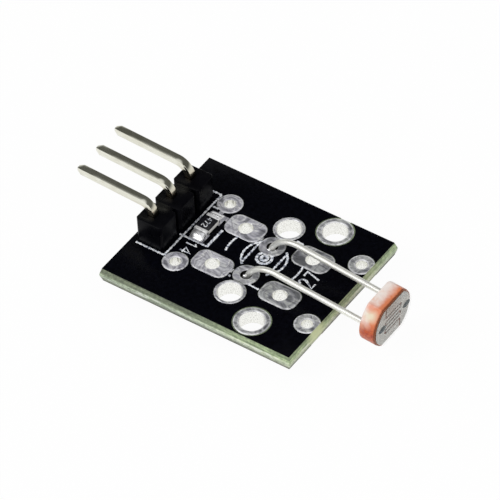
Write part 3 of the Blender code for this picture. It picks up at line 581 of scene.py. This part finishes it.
def makeBoard():
    inset = board["grooveInset"]
    ragged = board["webRagged"]
    size = boardHigh - boardLow
    low, high = boardLow.z, boardHigh.z
    webLow, webHigh = low + board["grooveDepth"], high - board["grooveDepth"]
    piece = startPiece(bpy.ops.mesh.primitive_plane_add, "EDGE", size=1)
    scaleTo(size.x - 2 * inset, size.y - 2 * inset, 1, (0, 0, 0))
    bpy.ops.transform.translate(value=(0, 0, low))
    bpy.ops.mesh.delete(type="ONLY_FACE")
    selectAll()
    bpy.ops.mesh.subdivide(number_cuts=board["edgeParts"])
    webX = (size.x - 2 * ragged) / (size.x - 2 * inset)
    webY = (size.y - 2 * ragged) / (size.y - 2 * inset)
    step = board["webStep"]
    levels = [(webLow, webX, webY), (webLow + step, 1, 1), ((low + high) / 2, 1, 1), (webHigh - step, 1, 1),
              (webHigh, 1, 1), (high, 1 / webX, 1 / webY)]
    z = low
    for nextZ, scaleX, scaleY in levels:
        extrude((0, 0, nextZ - z), True)
        scaleTo(scaleX, scaleY, 1, (0, 0, nextZ))
        z = nextZ
    pick("verts", lambda v: webLow - hair < v.co.z < webHigh + hair)
    bpy.ops.transform.vertex_random(offset=ragged * 0.9, uniform=1.0, normal=0.0, seed=7)
    for level in (low, high):
        pick("edges", lambda e: all(abs(v.co.z - level) < hair for v in e.verts))
        bpy.ops.mesh.edge_face_add()
    closeUp()
    piece.name = "laminate"
    drills = []
    for hole in holes:
        bpy.ops.mesh.primitive_cylinder_add(vertices=64, radius=holeSizes[hole["kind"]]["hole"],
                                            depth=board["drillLength"], location=(hole["x"], hole["y"], 0))
        drills.append(bpy.context.object)
    cutWith(piece, drills)
    dress(piece, laminateFinish, ["circuit_board"], 30)


def makeMask(name, node, openings):
    low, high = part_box(node)
    piece = startBlock(high - low, (0, 0, (low.z + high.z) / 2))
    bpy.ops.mesh.bevel(offset=mask["edge"], segments=2)
    closeUp()
    piece.name = name
    cutters = []
    for hole in holes:
        clear = holeSizes[hole["kind"]].get("clear", mask["clear"])
        cutters.append(padSolid(hole, clear, low.z - mm, high.z + mm))
    cutWith(piece, cutters + openings)
    dress(piece, maskFinish, [node], 30)


def plateOpening(node):
    # a clearance in the lacquer round a land or track
    low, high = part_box(node)
    grow = 2 * mask["clear"]
    opening = startBlock((high.x - low.x + grow, high.y - low.y + grow, mm), (low + high) / 2)
    settle(opening)
    return opening


makeBoard()
makeMask("topLacquer", "solder_mask_top", [plateOpening(node) for node in bareMetal])
makeMask("bottomLacquer", "solder_mask_bottom", [])
print("board made")


# Plated holes

rim = {"wide": 0.15 * mm,  # how far the rounding of a pad's rim reaches in
       "crown": 0.045 * mm,  # and how far down
       "plate": 0.05 * mm, "gap": 0.02 * mm, "segments": 64,
       "shine": {"lead": 0.25, "oblong": 0.7, "middle": 0.6}}  # how bright the painted rim highlight is, where not 1


def makeEyelet(hole):
    size = holeSizes[hole["kind"]]
    low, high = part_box(hole["node"])
    x, y = hole["x"], hole["y"]
    plate, crown = rim["plate"], rim["crown"]
    outer = size["hole"] - rim["gap"]
    inner = outer - plate
    pad = size["pad"]
    if hole["kind"] == "oblong":
        return makeOblongEyelet(hole, low.z, high.z, outer, inner)
    edge = min(rim["wide"], (pad - inner) * 0.3)
    profile = [(0, crown), (edge * 0.2, crown * 0.6), (edge * 0.6, crown * 0.14), (edge, 0)]
    under = [(inner + across, low.z + drop) for across, drop in profile]
    under += [(pad - across, low.z + drop) for across, drop in reversed(profile)]
    above = [(pad - across, high.z - drop) for across, drop in profile]
    above += [(inner + across, high.z - drop) for across, drop in reversed(profile)]
    rings = under + [(pad, low.z + plate), (outer, low.z + plate), (outer, high.z - plate),
                     (pad, high.z - plate)] + above + [under[0]]
    piece = roundSolid("eyelet", [(x, y, z, radius) for radius, z in rings], rim["segments"], True)
    if hole["kind"] == "lead":
        for other in holes:
            if other["kind"] == "middle" and other["y"] * y > 0:
                cutWith(piece, [padSolid(other, mask["clear"], low.z - mm, high.z + mm)])
    if hole["kind"] == "small" and x > 0:
        cutWith(piece, [startBlock((4 * mm, 4 * mm, 4 * mm), (high.x + 2 * mm, y, 0))])
    return piece


def makeOblongEyelet(hole, low, high, outer, inner):
    # two chamfered plates on a barrel, drilled through
    parts = []
    plate, crown, gap = rim["plate"], rim["crown"], rim["gap"]
    for bottom, top, face in ((low + crown, low + plate, -1), (high - plate, high - crown, 1)):
        parts.append(padSolid(hole, 0, bottom, top))
        startEdit("FACE")
        pick("faces", lambda f: f.normal.z * face > 0.9)
        for width, lift in ((0.2, 0.4), (0.4, 0.46), (0.4, 0.14)):
            bpy.ops.mesh.inset(thickness=rim["wide"] * width, depth=crown * lift)
    clearAll()
    bpy.ops.mesh.primitive_cylinder_add(vertices=rim["segments"], radius=outer, depth=high - low - plate,
                                        location=(hole["x"], hole["y"], (low + high) / 2))
    barrel = bpy.context.object
    for plateSolid in parts:
        combine(barrel, plateSolid, "UNION")
    settle(barrel)
    rings = [(low - mm, inner), (low + gap, inner), (high - gap, inner), (high, inner + gap),
             (high + mm, inner + gap)]
    rings = [(hole["x"], hole["y"], z, radius) for z, radius in rings]
    drill = roundSolid("drill", rings, rim["segments"])
    cutWith(barrel, [drill])
    return barrel


def markPaintedRimHighlights(piece, top, share):
    # the rounded rims under the pad's flat top are marked for the finish, which paints a highlight on them
    marks = piece.data.attributes.new("rim", "FLOAT", "POINT")
    for vert, mark in zip(piece.data.vertices, marks.data):
        mark.value = share if 0.002 * mm < top - vert.co.z < rim["crown"] + 0.007 * mm else 0.0


for hole in holes:
    eyelet = makeEyelet(hole)
    words = hole["node"].split("_")
    eyelet.name = words[0] + "".join(word.title() for word in words[1:])
    dress(eyelet, paintedShadeHoleFinish if hole["kind"] == "lead" else tinFinish, [hole["node"]])
    markPaintedRimHighlights(eyelet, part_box(hole["node"])[1].z, rim["shine"].get(hole["kind"], 1.0))
print("plated holes made")


# White print on the board

boardPrint = {
    "rise": 0.012 * mm, "symbol": (1.25 * mm, 0.435 * mm),
    "fine": 0.175 * mm, "thick": 0.24 * mm, "heavy": 0.27 * mm,  # widths of the strokes
    "lines": [  # from x, y to x, y in millimetres
        (-5.69, 4.43, -5.69, -3.545), (-5.69, -3.545, -8.44, -3.545), (-5.69, 4.43, -8.44, 4.43),
        (-6.0, -0.96, -3.4, -0.96), (-5.5, 3.0, -5.0, 3.0), (1.8, -2.6, 2.86, -2.66),
        (2.35, 3.4, 3.05, 3.32), (-0.1, -2.62, 0.1, -2.62)],
}
buriedTrack = {"start": (-3.9 * mm, -4.55 * mm), "end": (-0.3 * mm, -4.6 * mm), "width": 0.24 * mm,
               "rise": 0.014 * mm}
digitShapes = {  # strokes on a cell 0.6 wide and 1 high
    "1": [(0.1, 0.78), (0.32, 1.0), (0.32, 0.0)],
    "2": [(0.0, 0.8), (0.08, 0.95), (0.25, 1.0), (0.45, 0.96), (0.55, 0.8), (0.52, 0.62), (0.0, 0.0),
          (0.58, 0.0)],
    "4": [(0.45, 0.0), (0.45, 1.0), (0.0, 0.32), (0.6, 0.32)],
    "7": [(0.0, 1.0), (0.58, 1.0), (0.22, 0.0)],
}


def arcPoints(centre, radius, start, end, count=30):
    angles = [math.radians(start + (end - start) * i / count) for i in range(count + 1)]
    return [(centre[0] + radius * math.cos(a), centre[1] + radius * math.sin(a)) for a in angles]


def ring(centre, radius):
    circle = arcPoints(centre, radius, 0, 360, 40)
    circle[-1] = circle[0]
    return circle


def divideStroke(start, end, step=0.11 * mm):
    # a straight stroke in short steps, so that its edge can wobble
    count = max(1, round(math.dist(start, end) / step))
    return [(start[0] + (end[0] - start[0]) * i / count, start[1] + (end[1] - start[1]) * i / count)
            for i in range(count + 1)]


def digitStrokes(digits, corner, height, turn, gap, wide=1.0):
    # corner is the first digit's lower left; the digits run along +Y or -Y, as turn is 1 or -1
    strokes = []
    along = Vector((0, turn)) * height
    up = Vector((-turn, 0)) * height
    for place, digit in enumerate(digits):
        start = Vector(corner) + along * place * (0.6 * wide + gap)
        strokes.append([tuple(start + along * a * wide + up * b) for a, b in digitShapes[digit]])
    return strokes


def makePrint(name, strokes, width, low, rise, wobble, beads=0.0):
    # each stroke is a fine bead of ink, pressed flat
    data = bpy.data.curves.new(name, "CURVE")
    data.dimensions = "3D"
    data.bevel_depth = width / 2
    data.bevel_resolution = 2
    data.use_fill_caps = True
    for stroke in strokes:
        spline = data.splines.new("POLY")
        closed = stroke[0] == stroke[-1]
        shown = stroke[:-1] if closed else stroke
        spline.points.add(len(shown) - 1)
        spline.use_cyclic_u = closed
        for place, (point, (x, y)) in enumerate(zip(spline.points, shown)):
            point.co = (x, y, 0, 1)
            point.radius = 1 + beads * math.sin(2.3 * place) * math.cos(0.7 * place)
    piece = bpy.data.objects.new(name, data)
    bpy.context.collection.objects.link(piece)
    choose(piece)
    bpy.ops.object.convert(target="MESH")
    startEdit()
    scaleTo(1, 1, rise * 2 / width, (0, 0, 0))
    bpy.ops.transform.translate(value=(0, 0, low))
    bpy.ops.transform.vertex_random(offset=wobble, uniform=0.0, normal=0.0, seed=3)
    closeUp()
    return bpy.context.object


def makeBoardPrint():
    symbol = boardPrint["symbol"]
    lines = [divideStroke((x0 * mm, y0 * mm), (x1 * mm, y1 * mm)) for x0, y0, x1, y1 in boardPrint["lines"]]
    for radius, spread in ((1.85 * mm, 52), (3.25 * mm, 17)):
        for middle in (0, 180):
            lines.append(arcPoints(symbol, radius, middle - spread, middle + spread))
    for side in (-1, 1):
        x = symbol[0] + side * 1.29 * mm
        lines.append(divideStroke((x, symbol[1] - 1.3 * mm), (x, symbol[1] + 1.3 * mm)))
    lines += digitStrokes("14", (-5.0 * mm, -1.15 * mm), 0.95 * mm, -1, 0.2)
    lines += digitStrokes("27", (6.3 * mm, -0.33 * mm), 1.3 * mm, 1, 0.22, 0.72)
    bold = [divideStroke((-3.34 * mm, 1.2 * mm), (-3.34 * mm, -1.0 * mm)), ring(symbol, 0.62 * mm)]
    parts = []
    rise = boardPrint["rise"]
    for name, strokes, wobble, beads in (("fine", lines, 0.008, 0.42), ("thick", bold, 0.008, 0.168),
                                         ("heavy", [ring(symbol, 0.26 * mm)], 0.006, 0.42)):
        parts.append(makePrint(name, strokes, boardPrint[name], faceZ, rise, wobble * mm, beads))
    dress(joinAll(parts, "boardPrint"), inkFinish)


def makeBuriedTrack():
    # a copper track shows through the lacquer as a low ridge
    line = divideStroke(buriedTrack["start"], buriedTrack["end"])
    piece = makePrint("buriedTrack", [line], buriedTrack["width"], faceZ, buriedTrack["rise"], 0.002 * mm)
    dress(piece, maskFinish)


makeBoardPrint()
makeBuriedTrack()
print("print made")


# Header: housing, pins, joints

header = {"pitch": 2.54 * mm, "cellSpace": 0.32 * mm, "chamfer": 0.2 * mm, "notch": 0.55 * mm,
          "edge": 0.05 * mm, "webLap": 0.2 * mm, "webDrop": 0.02 * mm,
          "pinWidth": 0.64 * mm, "pinSlack": 0.08 * mm, "pinEdge": 0.05 * mm, "bendStart": 0.03 * mm,
          "bendRadius": {"near": 1.02 * mm, "middle": 1.13 * mm, "far": 1.21 * mm}, "bendParts": 16,
          "rise": math.radians(2.8), "point": 0.4 * mm, "pointShare": 0.53, "tipSpace": 0.012 * mm,
          "jointNarrow": 0.5 * mm, "jointWide": 0.82 * mm}
housingLow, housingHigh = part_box("header_housing")


def makeHousing():
    size = housingHigh - housingLow
    centre = (housingLow + housingHigh) / 2
    parts = []
    for step in (-1, 0, 1):
        middle = centre + Vector((0, step * header["pitch"], 0))
        cell = startBlock((size.x, header["pitch"] - header["cellSpace"], size.z), middle)
        pick("edges", isUpright)
        bpy.ops.mesh.bevel(offset=header["chamfer"], segments=1)
        pick("edges", isSharp)
        bpy.ops.mesh.bevel(offset=header["edge"], segments=3)
        closeUp()
        settle(cell)
        pinHole = (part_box("header_pin_near")[1].x - header["pinWidth"] / 2, middle.y, housingHigh.z)
        wide = header["pinWidth"] + header["pinSlack"]
        cutWith(cell, [startBlock((wide, wide, wide), pinHole)])
        parts.append(cell)
    for step in (-0.5, 0.5):
        web = startBlock((size.x - 2 * header["notch"], header["cellSpace"] + header["webLap"],
                          size.z - 2 * header["webDrop"]),
                         centre + Vector((0, step * header["pitch"], -header["webDrop"])))
        pick("edges", isUpright)
        bpy.ops.mesh.bevel(offset=header["edge"], segments=2)
        closeUp()
        settle(web)
        parts.append(web)
    dress(joinAll(parts, "housing"), finishes["blackHousing"], ["header_housing"])


def makePin(side):
    low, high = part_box("header_pin_" + side)
    width = header["pinWidth"]
    x, y = high.x - width / 2, (low.y + high.y) / 2
    rise = header["rise"]
    share = header["pointShare"]
    piece = startPiece(bpy.ops.mesh.primitive_plane_add, size=width)
    bpy.ops.mesh.bevel(offset=header["pinEdge"], segments=2, affect="VERTICES")
    bpy.ops.mesh.select_mode(type="FACE")
    selectAll()
    bpy.ops.transform.translate(value=(x, y, low.z))
    scaleTo(share, share, 1, (x, y, low.z))
    extrude((0, 0, header["point"]))
    scaleTo(1 / share, 1 / share, 1, (x, y, low.z))
    bendZ = housingHigh.z + header["bendStart"]
    extrude((0, 0, bendZ - low.z - header["point"]))
    bpy.ops.mesh.spin(steps=header["bendParts"], angle=math.pi / 2 - rise, axis=(0, 1, 0),
                      center=(x - header["bendRadius"][side], y, bendZ))
    away = Vector((-math.cos(rise), 0, math.sin(rise)))
    reach = (selectedMiddle().x - low.x - header["tipSpace"]) / math.cos(rise) - header["point"]
    for part in range(4):
        extrude(away * reach / 4)
    extrude(away * header["point"])
    scaleTo(share, share, share, selectedMiddle())
    closeUp()
    piece.name = "pin" + side.title()
    dress(piece, pinFinish, ["header_pin_" + side], 30)


def makeJoint(name, node, pad, wire, narrow, wide):
    # solder that wets the pad, whose middle is given, and climbs down the wire
    low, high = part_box(node)
    rings = []
    steps = 9
    for i in range(steps + 1):
        spread = (1 - i / steps) ** 2.2
        x, y = wire + (pad - wire) * spread
        rings.append((x, y, high.z - (high.z - low.z) * i / steps, narrow + (wide - narrow) * spread))
    dress(roundSolid(name, rings, 40), finishes["brightSolder"], [node])


makeHousing()
for side in ("near", "middle", "far"):
    makePin(side)
    low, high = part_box("header_solder_" + side)
    middle = ((low + high) / 2).xy
    makeJoint("pinJoint" + side.title(), "header_solder_" + side, middle, middle, header["jointNarrow"],
              header["jointWide"])
print("header made")


# Chip resistor

chip = {
    "bodyEdge": 0.03 * mm, "glazeEdge": 0.02 * mm, "capEdge": 0.05 * mm,
    "digits": "472", "digitHeight": 0.46 * mm, "digitGap": 0.22, "digitWidth": 0.085 * mm,
    "digitRise": 0.006 * mm,
    "fillet": ((0, 0.98, 0.9), (0.12, 0.97, 1.0), (0.3, 0.9, 1.0), (0.5, 0.76, 1.0), (0.72, 0.54, 1.0),
               (0.88, 0.32, 0.96), (0.98, 0.14, 0.9)),  # shares of the depth, height and width
}


def makeBlock(name, node, edge, segments, finish):
    # a block with rounded edges in the node's box
    low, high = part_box(node)
    piece = startBlock(high - low, (low + high) / 2)
    bpy.ops.mesh.bevel(offset=edge, segments=segments)
    closeUp()
    piece.name = name
    dress(piece, finishes[finish], [node])


def makeFillet(side, across):
    # a mound of solder from the land up the end cap, drawn down in steps towards its toe
    low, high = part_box("resistor_solder_" + side)
    size = high - low
    inner = low.y if across > 0 else high.y
    wall = (low.x + size.x / 2, inner, low.z + size.z / 2)
    piece = startPiece(bpy.ops.mesh.primitive_plane_add, location=wall, size=1, rotation=(math.pi / 2, 0, 0))
    settle(piece)  # so that selectedMiddle speaks of the module's own axes
    startEdit("FACE")
    share, height, width = chip["fillet"][0]
    scaleTo(size.x * width, 1, size.z * height, wall)
    for share, nextHeight, nextWidth in chip["fillet"][1:]:
        y = inner + across * size.y * share
        extrude((0, y - selectedMiddle().y, 0))
        scaleTo(nextWidth / width, 1, nextHeight / height, (wall[0], y, low.z + 0.01 * mm))
        height, width = nextHeight, nextWidth
    selectAll()
    bpy.ops.mesh.subdivide(number_cuts=1)
    closeUp()
    piece.name = "chipSolder" + side.title()
    useModifier(piece, "SUBSURF", levels=2, render_levels=2)
    dress(piece, finishes["brightSolder"], ["resistor_solder_" + side], 60)


def makeChipDigits():
    low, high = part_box("resistor_overcoat")
    middle = (low + high) / 2
    height = chip["digitHeight"]
    length = (0.6 * 3 + chip["digitGap"] * 2) * height
    corner = (middle.x - height / 2, middle.y + length / 2)
    strokes = digitStrokes(chip["digits"], corner, height, -1, chip["digitGap"])
    piece = makePrint("chipDigits", strokes, chip["digitWidth"], high.z, chip["digitRise"], 0.002 * mm)
    dress(piece, inkFinish)


makeBlock("chipBody", "resistor_body", chip["bodyEdge"], 3, "chipCeramic")
makeBlock("chipGlaze", "resistor_overcoat", chip["glazeEdge"], 2, "blackGlaze")
for across, side in sides:
    makeBlock("chipCap" + side.title(), "resistor_terminal_" + side, chip["capEdge"], 4, "wettedCap")
    makeFillet(side, across)
makeChipDigits()
print("chip resistor made")


# Light-dependent resistor

sensor = {"back": (12.27 * mm, 0, 2.06 * mm), "tilt": math.radians(5), "radius": 2.5 * mm, "flat": 2.85 * mm,
          "base": 1.4 * mm, "edge": 0.09 * mm, "frontEdge": 0.04 * mm, "lacquerLow": 1.56 * mm}
lacquerProfile = ((0, 0.04), (0.05, 0.04), (0.10, 0.08), (0.135, 0.15), (0.15, 0.3))  # rise and inset, in mm
dab = {"radius": 0.38 * mm, "shift": 0.22 * mm, "stretch": (1.3, 0.85, 1), "ragged": 0.03 * mm,
       "profile": ((-0.015, 1), (0.02, 0.95), (0.05, 0.75), (0.065, 0.4))}  # rise in mm, share of the radius
lead = {"spacing": 3.36 * mm, "wire": 0.25 * mm, "x": 0.94 * mm, "archRadius": 2.65 * mm, "archParts": 24,
        "archDepth": {"near": 1.15 * mm, "far": 0.98 * mm}, "straightParts": 12, "tipShare": 0.82,
        "tipLength": 0.05 * mm, "intoBase": 0.9, "jointNarrow": 0.34 * mm, "jointWide": 1.06 * mm}
foot = {"ball": 0.17 * mm, "out": 0.06 * mm, "side": 0.26 * mm, "ragged": 0.02 * mm,
        "deep": 0.85 * mm,  # from the pad's top down to the solder in the hole
        "space": 0.075 * mm,  # between that solder and the drilled hole
        "profile": ((0, 0.4, 1), (0, 0, 1), (0.03, 0.08, 0.8), (0.05, 0.1, 0.5))}  # out and down in mm, share


def placeOnHead(piece):
    # takes (across, up, forward) to the module's own axes
    turn = Matrix.Rotation(sensor["tilt"], 4, "Y") @ Matrix(((0, 0, 1), (1, 0, 0), (0, 1, 0))).to_4x4()
    turn.translation = Vector(sensor["back"])
    piece.matrix_world = turn
    settle(piece)
    return piece


def flatDisc(name, levels):
    # a disc with two flats; levels are (depth, inset)
    radius = sensor["radius"]
    half = math.sqrt(radius ** 2 - (sensor["flat"] / 2) ** 2)
    piece = startPiece(bpy.ops.mesh.primitive_circle_add, "FACE", vertices=96, radius=radius,
                       fill_type="NGON")
    piece.name = name
    for side in (-1, 1):
        selectAll()
        bpy.ops.mesh.bisect(plane_co=(0, side * half, 0), plane_no=(0, side, 0), clear_outer=True)
    selectAll()
    rings = [(0, 0, depth, radius - inset) for depth, inset in levels]
    share = rings[0][3] / radius
    bpy.ops.transform.translate(value=rings[0][:3])
    scaleTo(share, share, 1, rings[0][:3])
    drawThrough(rings)
    closeUp()
    return placeOnHead(piece)


def makeSensorBody():
    base, edge, front = sensor["base"], sensor["edge"], sensor["frontEdge"]
    angles = [math.radians(18 * i) for i in range(6)]
    levels = [(edge * (1 - math.cos(a)), edge * (1 - math.sin(a))) for a in angles]
    levels += [(edge + (base - edge) * i / 10, 0) for i in range(1, 10)] + [(base - front, 0), (base, front)]
    dress(flatDisc("sensorBody", levels), sensorBodyFinish, ["sensor_base"], 28)


def makeSensorLacquer():
    levels = [(sensor["lacquerLow"] + rise * mm, inset * mm) for rise, inset in lacquerProfile]
    dress(flatDisc("sensorLacquer", levels), finishes["clearLacquer"], ["sensor_lacquer"])


def makeDab(side, across):
    # a dab of paste with an uneven rim
    low = sensor["lacquerLow"]
    x = across * lead["spacing"] / 2 + dab["shift"]
    rings = [(x, 0, low + rise * mm, dab["radius"] * share) for rise, share in dab["profile"]]
    piece = roundSolid("sensorDab" + side.title(), rings, 32)
    startEdit()
    scaleTo(*dab["stretch"], (x, 0, low))
    bpy.ops.transform.vertex_random(offset=dab["ragged"], uniform=0.0, normal=0.0, seed=11 + across)
    bpy.ops.mesh.vertices_smooth(factor=0.5, repeat=3)
    closeUp()
    placeOnHead(piece)
    dress(piece, finishes["silverPaste"], ["sensor_dab_" + side], 60)


def makeLead(side):
    low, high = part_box("sensor_lead_" + side)
    x, y = lead["x"], (low.y + high.y) / 2
    radius, share = lead["archRadius"], lead["tipShare"]
    centre = Vector((x + radius, y, faceZ - lead["archDepth"][side]))
    back = Vector((sensor["back"][0], y, sensor["back"][2]))
    away = back - centre
    # the arch lets go of its circle where the wire points at the head's back
    letGo = math.atan2(away.z, away.x) + math.acos(radius / away.length)
    piece = startPiece(bpy.ops.mesh.primitive_circle_add, "FACE", vertices=32, radius=lead["wire"],
                       fill_type="NGON")
    scaleTo(share, share, 1, (0, 0, 0))
    bpy.ops.transform.translate(value=(x, y, low.z))
    extrude((0, 0, lead["tipLength"]))
    scaleTo(1 / share, 1 / share, 1, (x, y, 0))
    extrude((0, 0, centre.z - low.z - lead["tipLength"]))
    bpy.ops.mesh.spin(steps=lead["archParts"], angle=math.pi - letGo, center=centre, axis=(0, -1, 0))
    step = (back - selectedMiddle()) / lead["straightParts"]
    for part in range(lead["straightParts"]):
        extrude(step)
    inside = Vector((math.cos(sensor["tilt"]), 0, -math.sin(sensor["tilt"])))
    extrude(inside * sensor["base"] * lead["intoBase"])
    closeUp()
    piece.name = "sensorLead" + side.title()
    dress(piece, finishes["tinnedWire"], ["sensor_lead_" + side], 60)


def makeLeadFoot(side, across, hole):
    # solder that has crept up through the hole, and a drop of it beside the wire
    x, y = hole["x"], hole["y"]
    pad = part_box(hole["node"])[1].z
    inner = holeSizes["lead"]["hole"] - foot["space"]
    top = pad - foot["deep"]
    rings = [(x + out * mm, y, top - drop * mm, inner * share) for out, drop, share in foot["profile"]]
    plug = roundSolid("plug", rings, 40)
    settle(plug)
    ball = foot["ball"]
    place = (lead["x"] + foot["out"], across * lead["spacing"] / 2 - foot["side"], pad - ball * 1.1)
    drop = startPiece(bpy.ops.mesh.primitive_uv_sphere_add, location=place, segments=28, ring_count=14,
                      radius=ball)
    scaleTo(1.1, 1, 1.35, place)
    bpy.ops.transform.vertex_random(offset=foot["ragged"], uniform=0.0, normal=0.0, seed=5 + across)
    bpy.ops.mesh.vertices_smooth(factor=0.5, repeat=2)
    settle(drop)
    dress(joinAll([plug, drop], "leadFoot" + side.title()), finishes["brightSolder"], (), 60)


makeSensorBody()
makeSensorLacquer()
for across, side in sides:
    makeDab(side, across)
    makeLead(side)
    hole = next(h for h in holes if h["node"] == "lead_eyelet_" + side)
    makeLeadFoot(side, across, hole)
    makeJoint("leadJoint" + side.title(), "lead_solder_" + side, Vector((hole["x"], hole["y"])),
              Vector((lead["x"], across * lead["spacing"] / 2)), lead["jointNarrow"], lead["jointWide"])
print("sensor made")


# Finishes for the frame's own pieces that stay

stayFinishes = {"sensor_film": filmFinish, "sensor_electrode_near": electrodeFinish,
                "sensor_electrode_far": electrodeFinish}
for node in bareMetal:
    stayFinishes[node] = tinFinish
for node, finish in stayFinishes.items():
    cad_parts[node].data.materials.clear()
    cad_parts[node].data.materials.append(finish)


# Table, lights and camera

studio = {"floorSize": 1.6, "floorDrop": 0.02 * mm, "floorWhite": 0.95, "floorKeep": 0.96, "worldLight": 0.55,
          "keyPanel": {"place": (-0.3, -0.38, 0.42), "size": 0.35, "power": 1.6},
          "fillPanel": {"place": (0.45, -0.2, 0.35), "size": 0.4, "power": 0.7}}
view = {"azimuth": math.radians(37.21), "elevation": math.radians(45.56), "roll": math.radians(-3.365),
        "distance": 0.39667, "lens": 360.0, "target": (0.3 * mm, 0.035 * mm, 1.35 * mm),
        "shift": (-0.00324, 0.01328)}
white = (1, 1, 1, 1)


def clearTree(owner):
    owner.use_nodes = True
    owner.node_tree.nodes.clear()
    return owner.node_tree


def mixShaders(tree, factor, first, second):
    return addNode(tree, "MixShader", {0: factor, 1: first.outputs[0], 2: second.outputs[0]})


def makeFloor():
    # matte where it catches the shadow, and plain white to the camera and in mirrors and glass
    finish = bpy.data.materials.new("paleTable")
    tree = clearTree(finish)
    matte = addNode(tree, "BsdfDiffuse", {"Color": (studio["floorWhite"],) * 3 + (1,)})
    glow = addNode(tree, "Emission", {"Color": white})
    rays = addNode(tree, "LightPath").outputs
    mirrored = calculate("MAXIMUM", rays["Is Glossy Ray"], rays["Is Transmission Ray"])
    seen = calculate("MAXIMUM", rays["Is Camera Ray"], mirrored)
    mix = mixShaders(tree, multiply(seen, studio["floorKeep"]), matte, glow)
    addNode(tree, "OutputMaterial", {"Surface": mix.outputs[0]})
    clearAll()
    under = cadBox[0].z - studio["floorDrop"]
    bpy.ops.mesh.primitive_plane_add(size=studio["floorSize"], location=(0, 0, under))
    floor = bpy.context.object
    floor.name = "table"
    floor.data.materials.append(finish)


def makeWorld():
    # even light, with a darker band at mid height that only bright metal shows
    world = bpy.data.worlds.new("softRoom")
    bpy.context.scene.world = world
    tree = clearTree(world)
    coords = addNode(tree, "TexCoord").outputs["Generated"]
    height = addNode(tree, "SeparateXYZ", {0: coords}).outputs["Z"]
    band = ramp(height, (0.0, 0.95, 0.95, 0.93), (0.15, 0.8, 0.8, 0.78), (0.42, 0.10, 0.10, 0.09),
                (0.86, 0.11, 0.11, 0.10), (0.97, 0.9, 0.9, 0.9))
    room = addNode(tree, "Background", {"Color": white, "Strength": studio["worldLight"]})
    mirrorRoom = addNode(tree, "Background", {"Color": band})
    backdrop = addNode(tree, "Background", {"Color": white})
    rays = addNode(tree, "LightPath").outputs
    lit = mixShaders(tree, rays["Is Glossy Ray"], room, mirrorRoom)
    seen = mixShaders(tree, rays["Is Camera Ray"], lit, backdrop)
    addNode(tree, "OutputWorld", {"Surface": seen.outputs[0]})


def addPanel(name):
    panel = studio[name]
    clearAll()
    bpy.ops.object.light_add(type="AREA", location=panel["place"])
    lamp = bpy.context.object
    lamp.name = name
    lamp.data.size = panel["size"]
    lamp.data.energy = panel["power"]
    lamp.rotation_euler = (-Vector(panel["place"])).to_track_quat("-Z", "Y").to_euler()


def placeCamera():
    turn = Matrix.Rotation(view["azimuth"], 4, "Z") @ Matrix.Rotation(math.pi / 2 - view["elevation"], 4, "X")
    turn = turn @ Matrix.Rotation(view["roll"], 4, "Z")
    turn.translation = Vector(view["target"]) + turn.col[2].xyz * view["distance"]
    clearAll()
    bpy.ops.object.camera_add()
    camera = bpy.context.object
    camera.matrix_world = turn
    camera.data.lens = view["lens"]
    camera.data.sensor_width = 36
    camera.data.shift_x, camera.data.shift_y = view["shift"]
    camera.data.clip_start = 0.01
    camera.data.clip_end = 10
    camera.data.dof.use_dof = False
    bpy.context.scene.camera = camera


makeFloor()
makeWorld()
addPanel("keyPanel")
addPanel("fillPanel")
placeCamera()
bpy.context.scene.view_settings.view_transform = "Standard"
print("studio made")
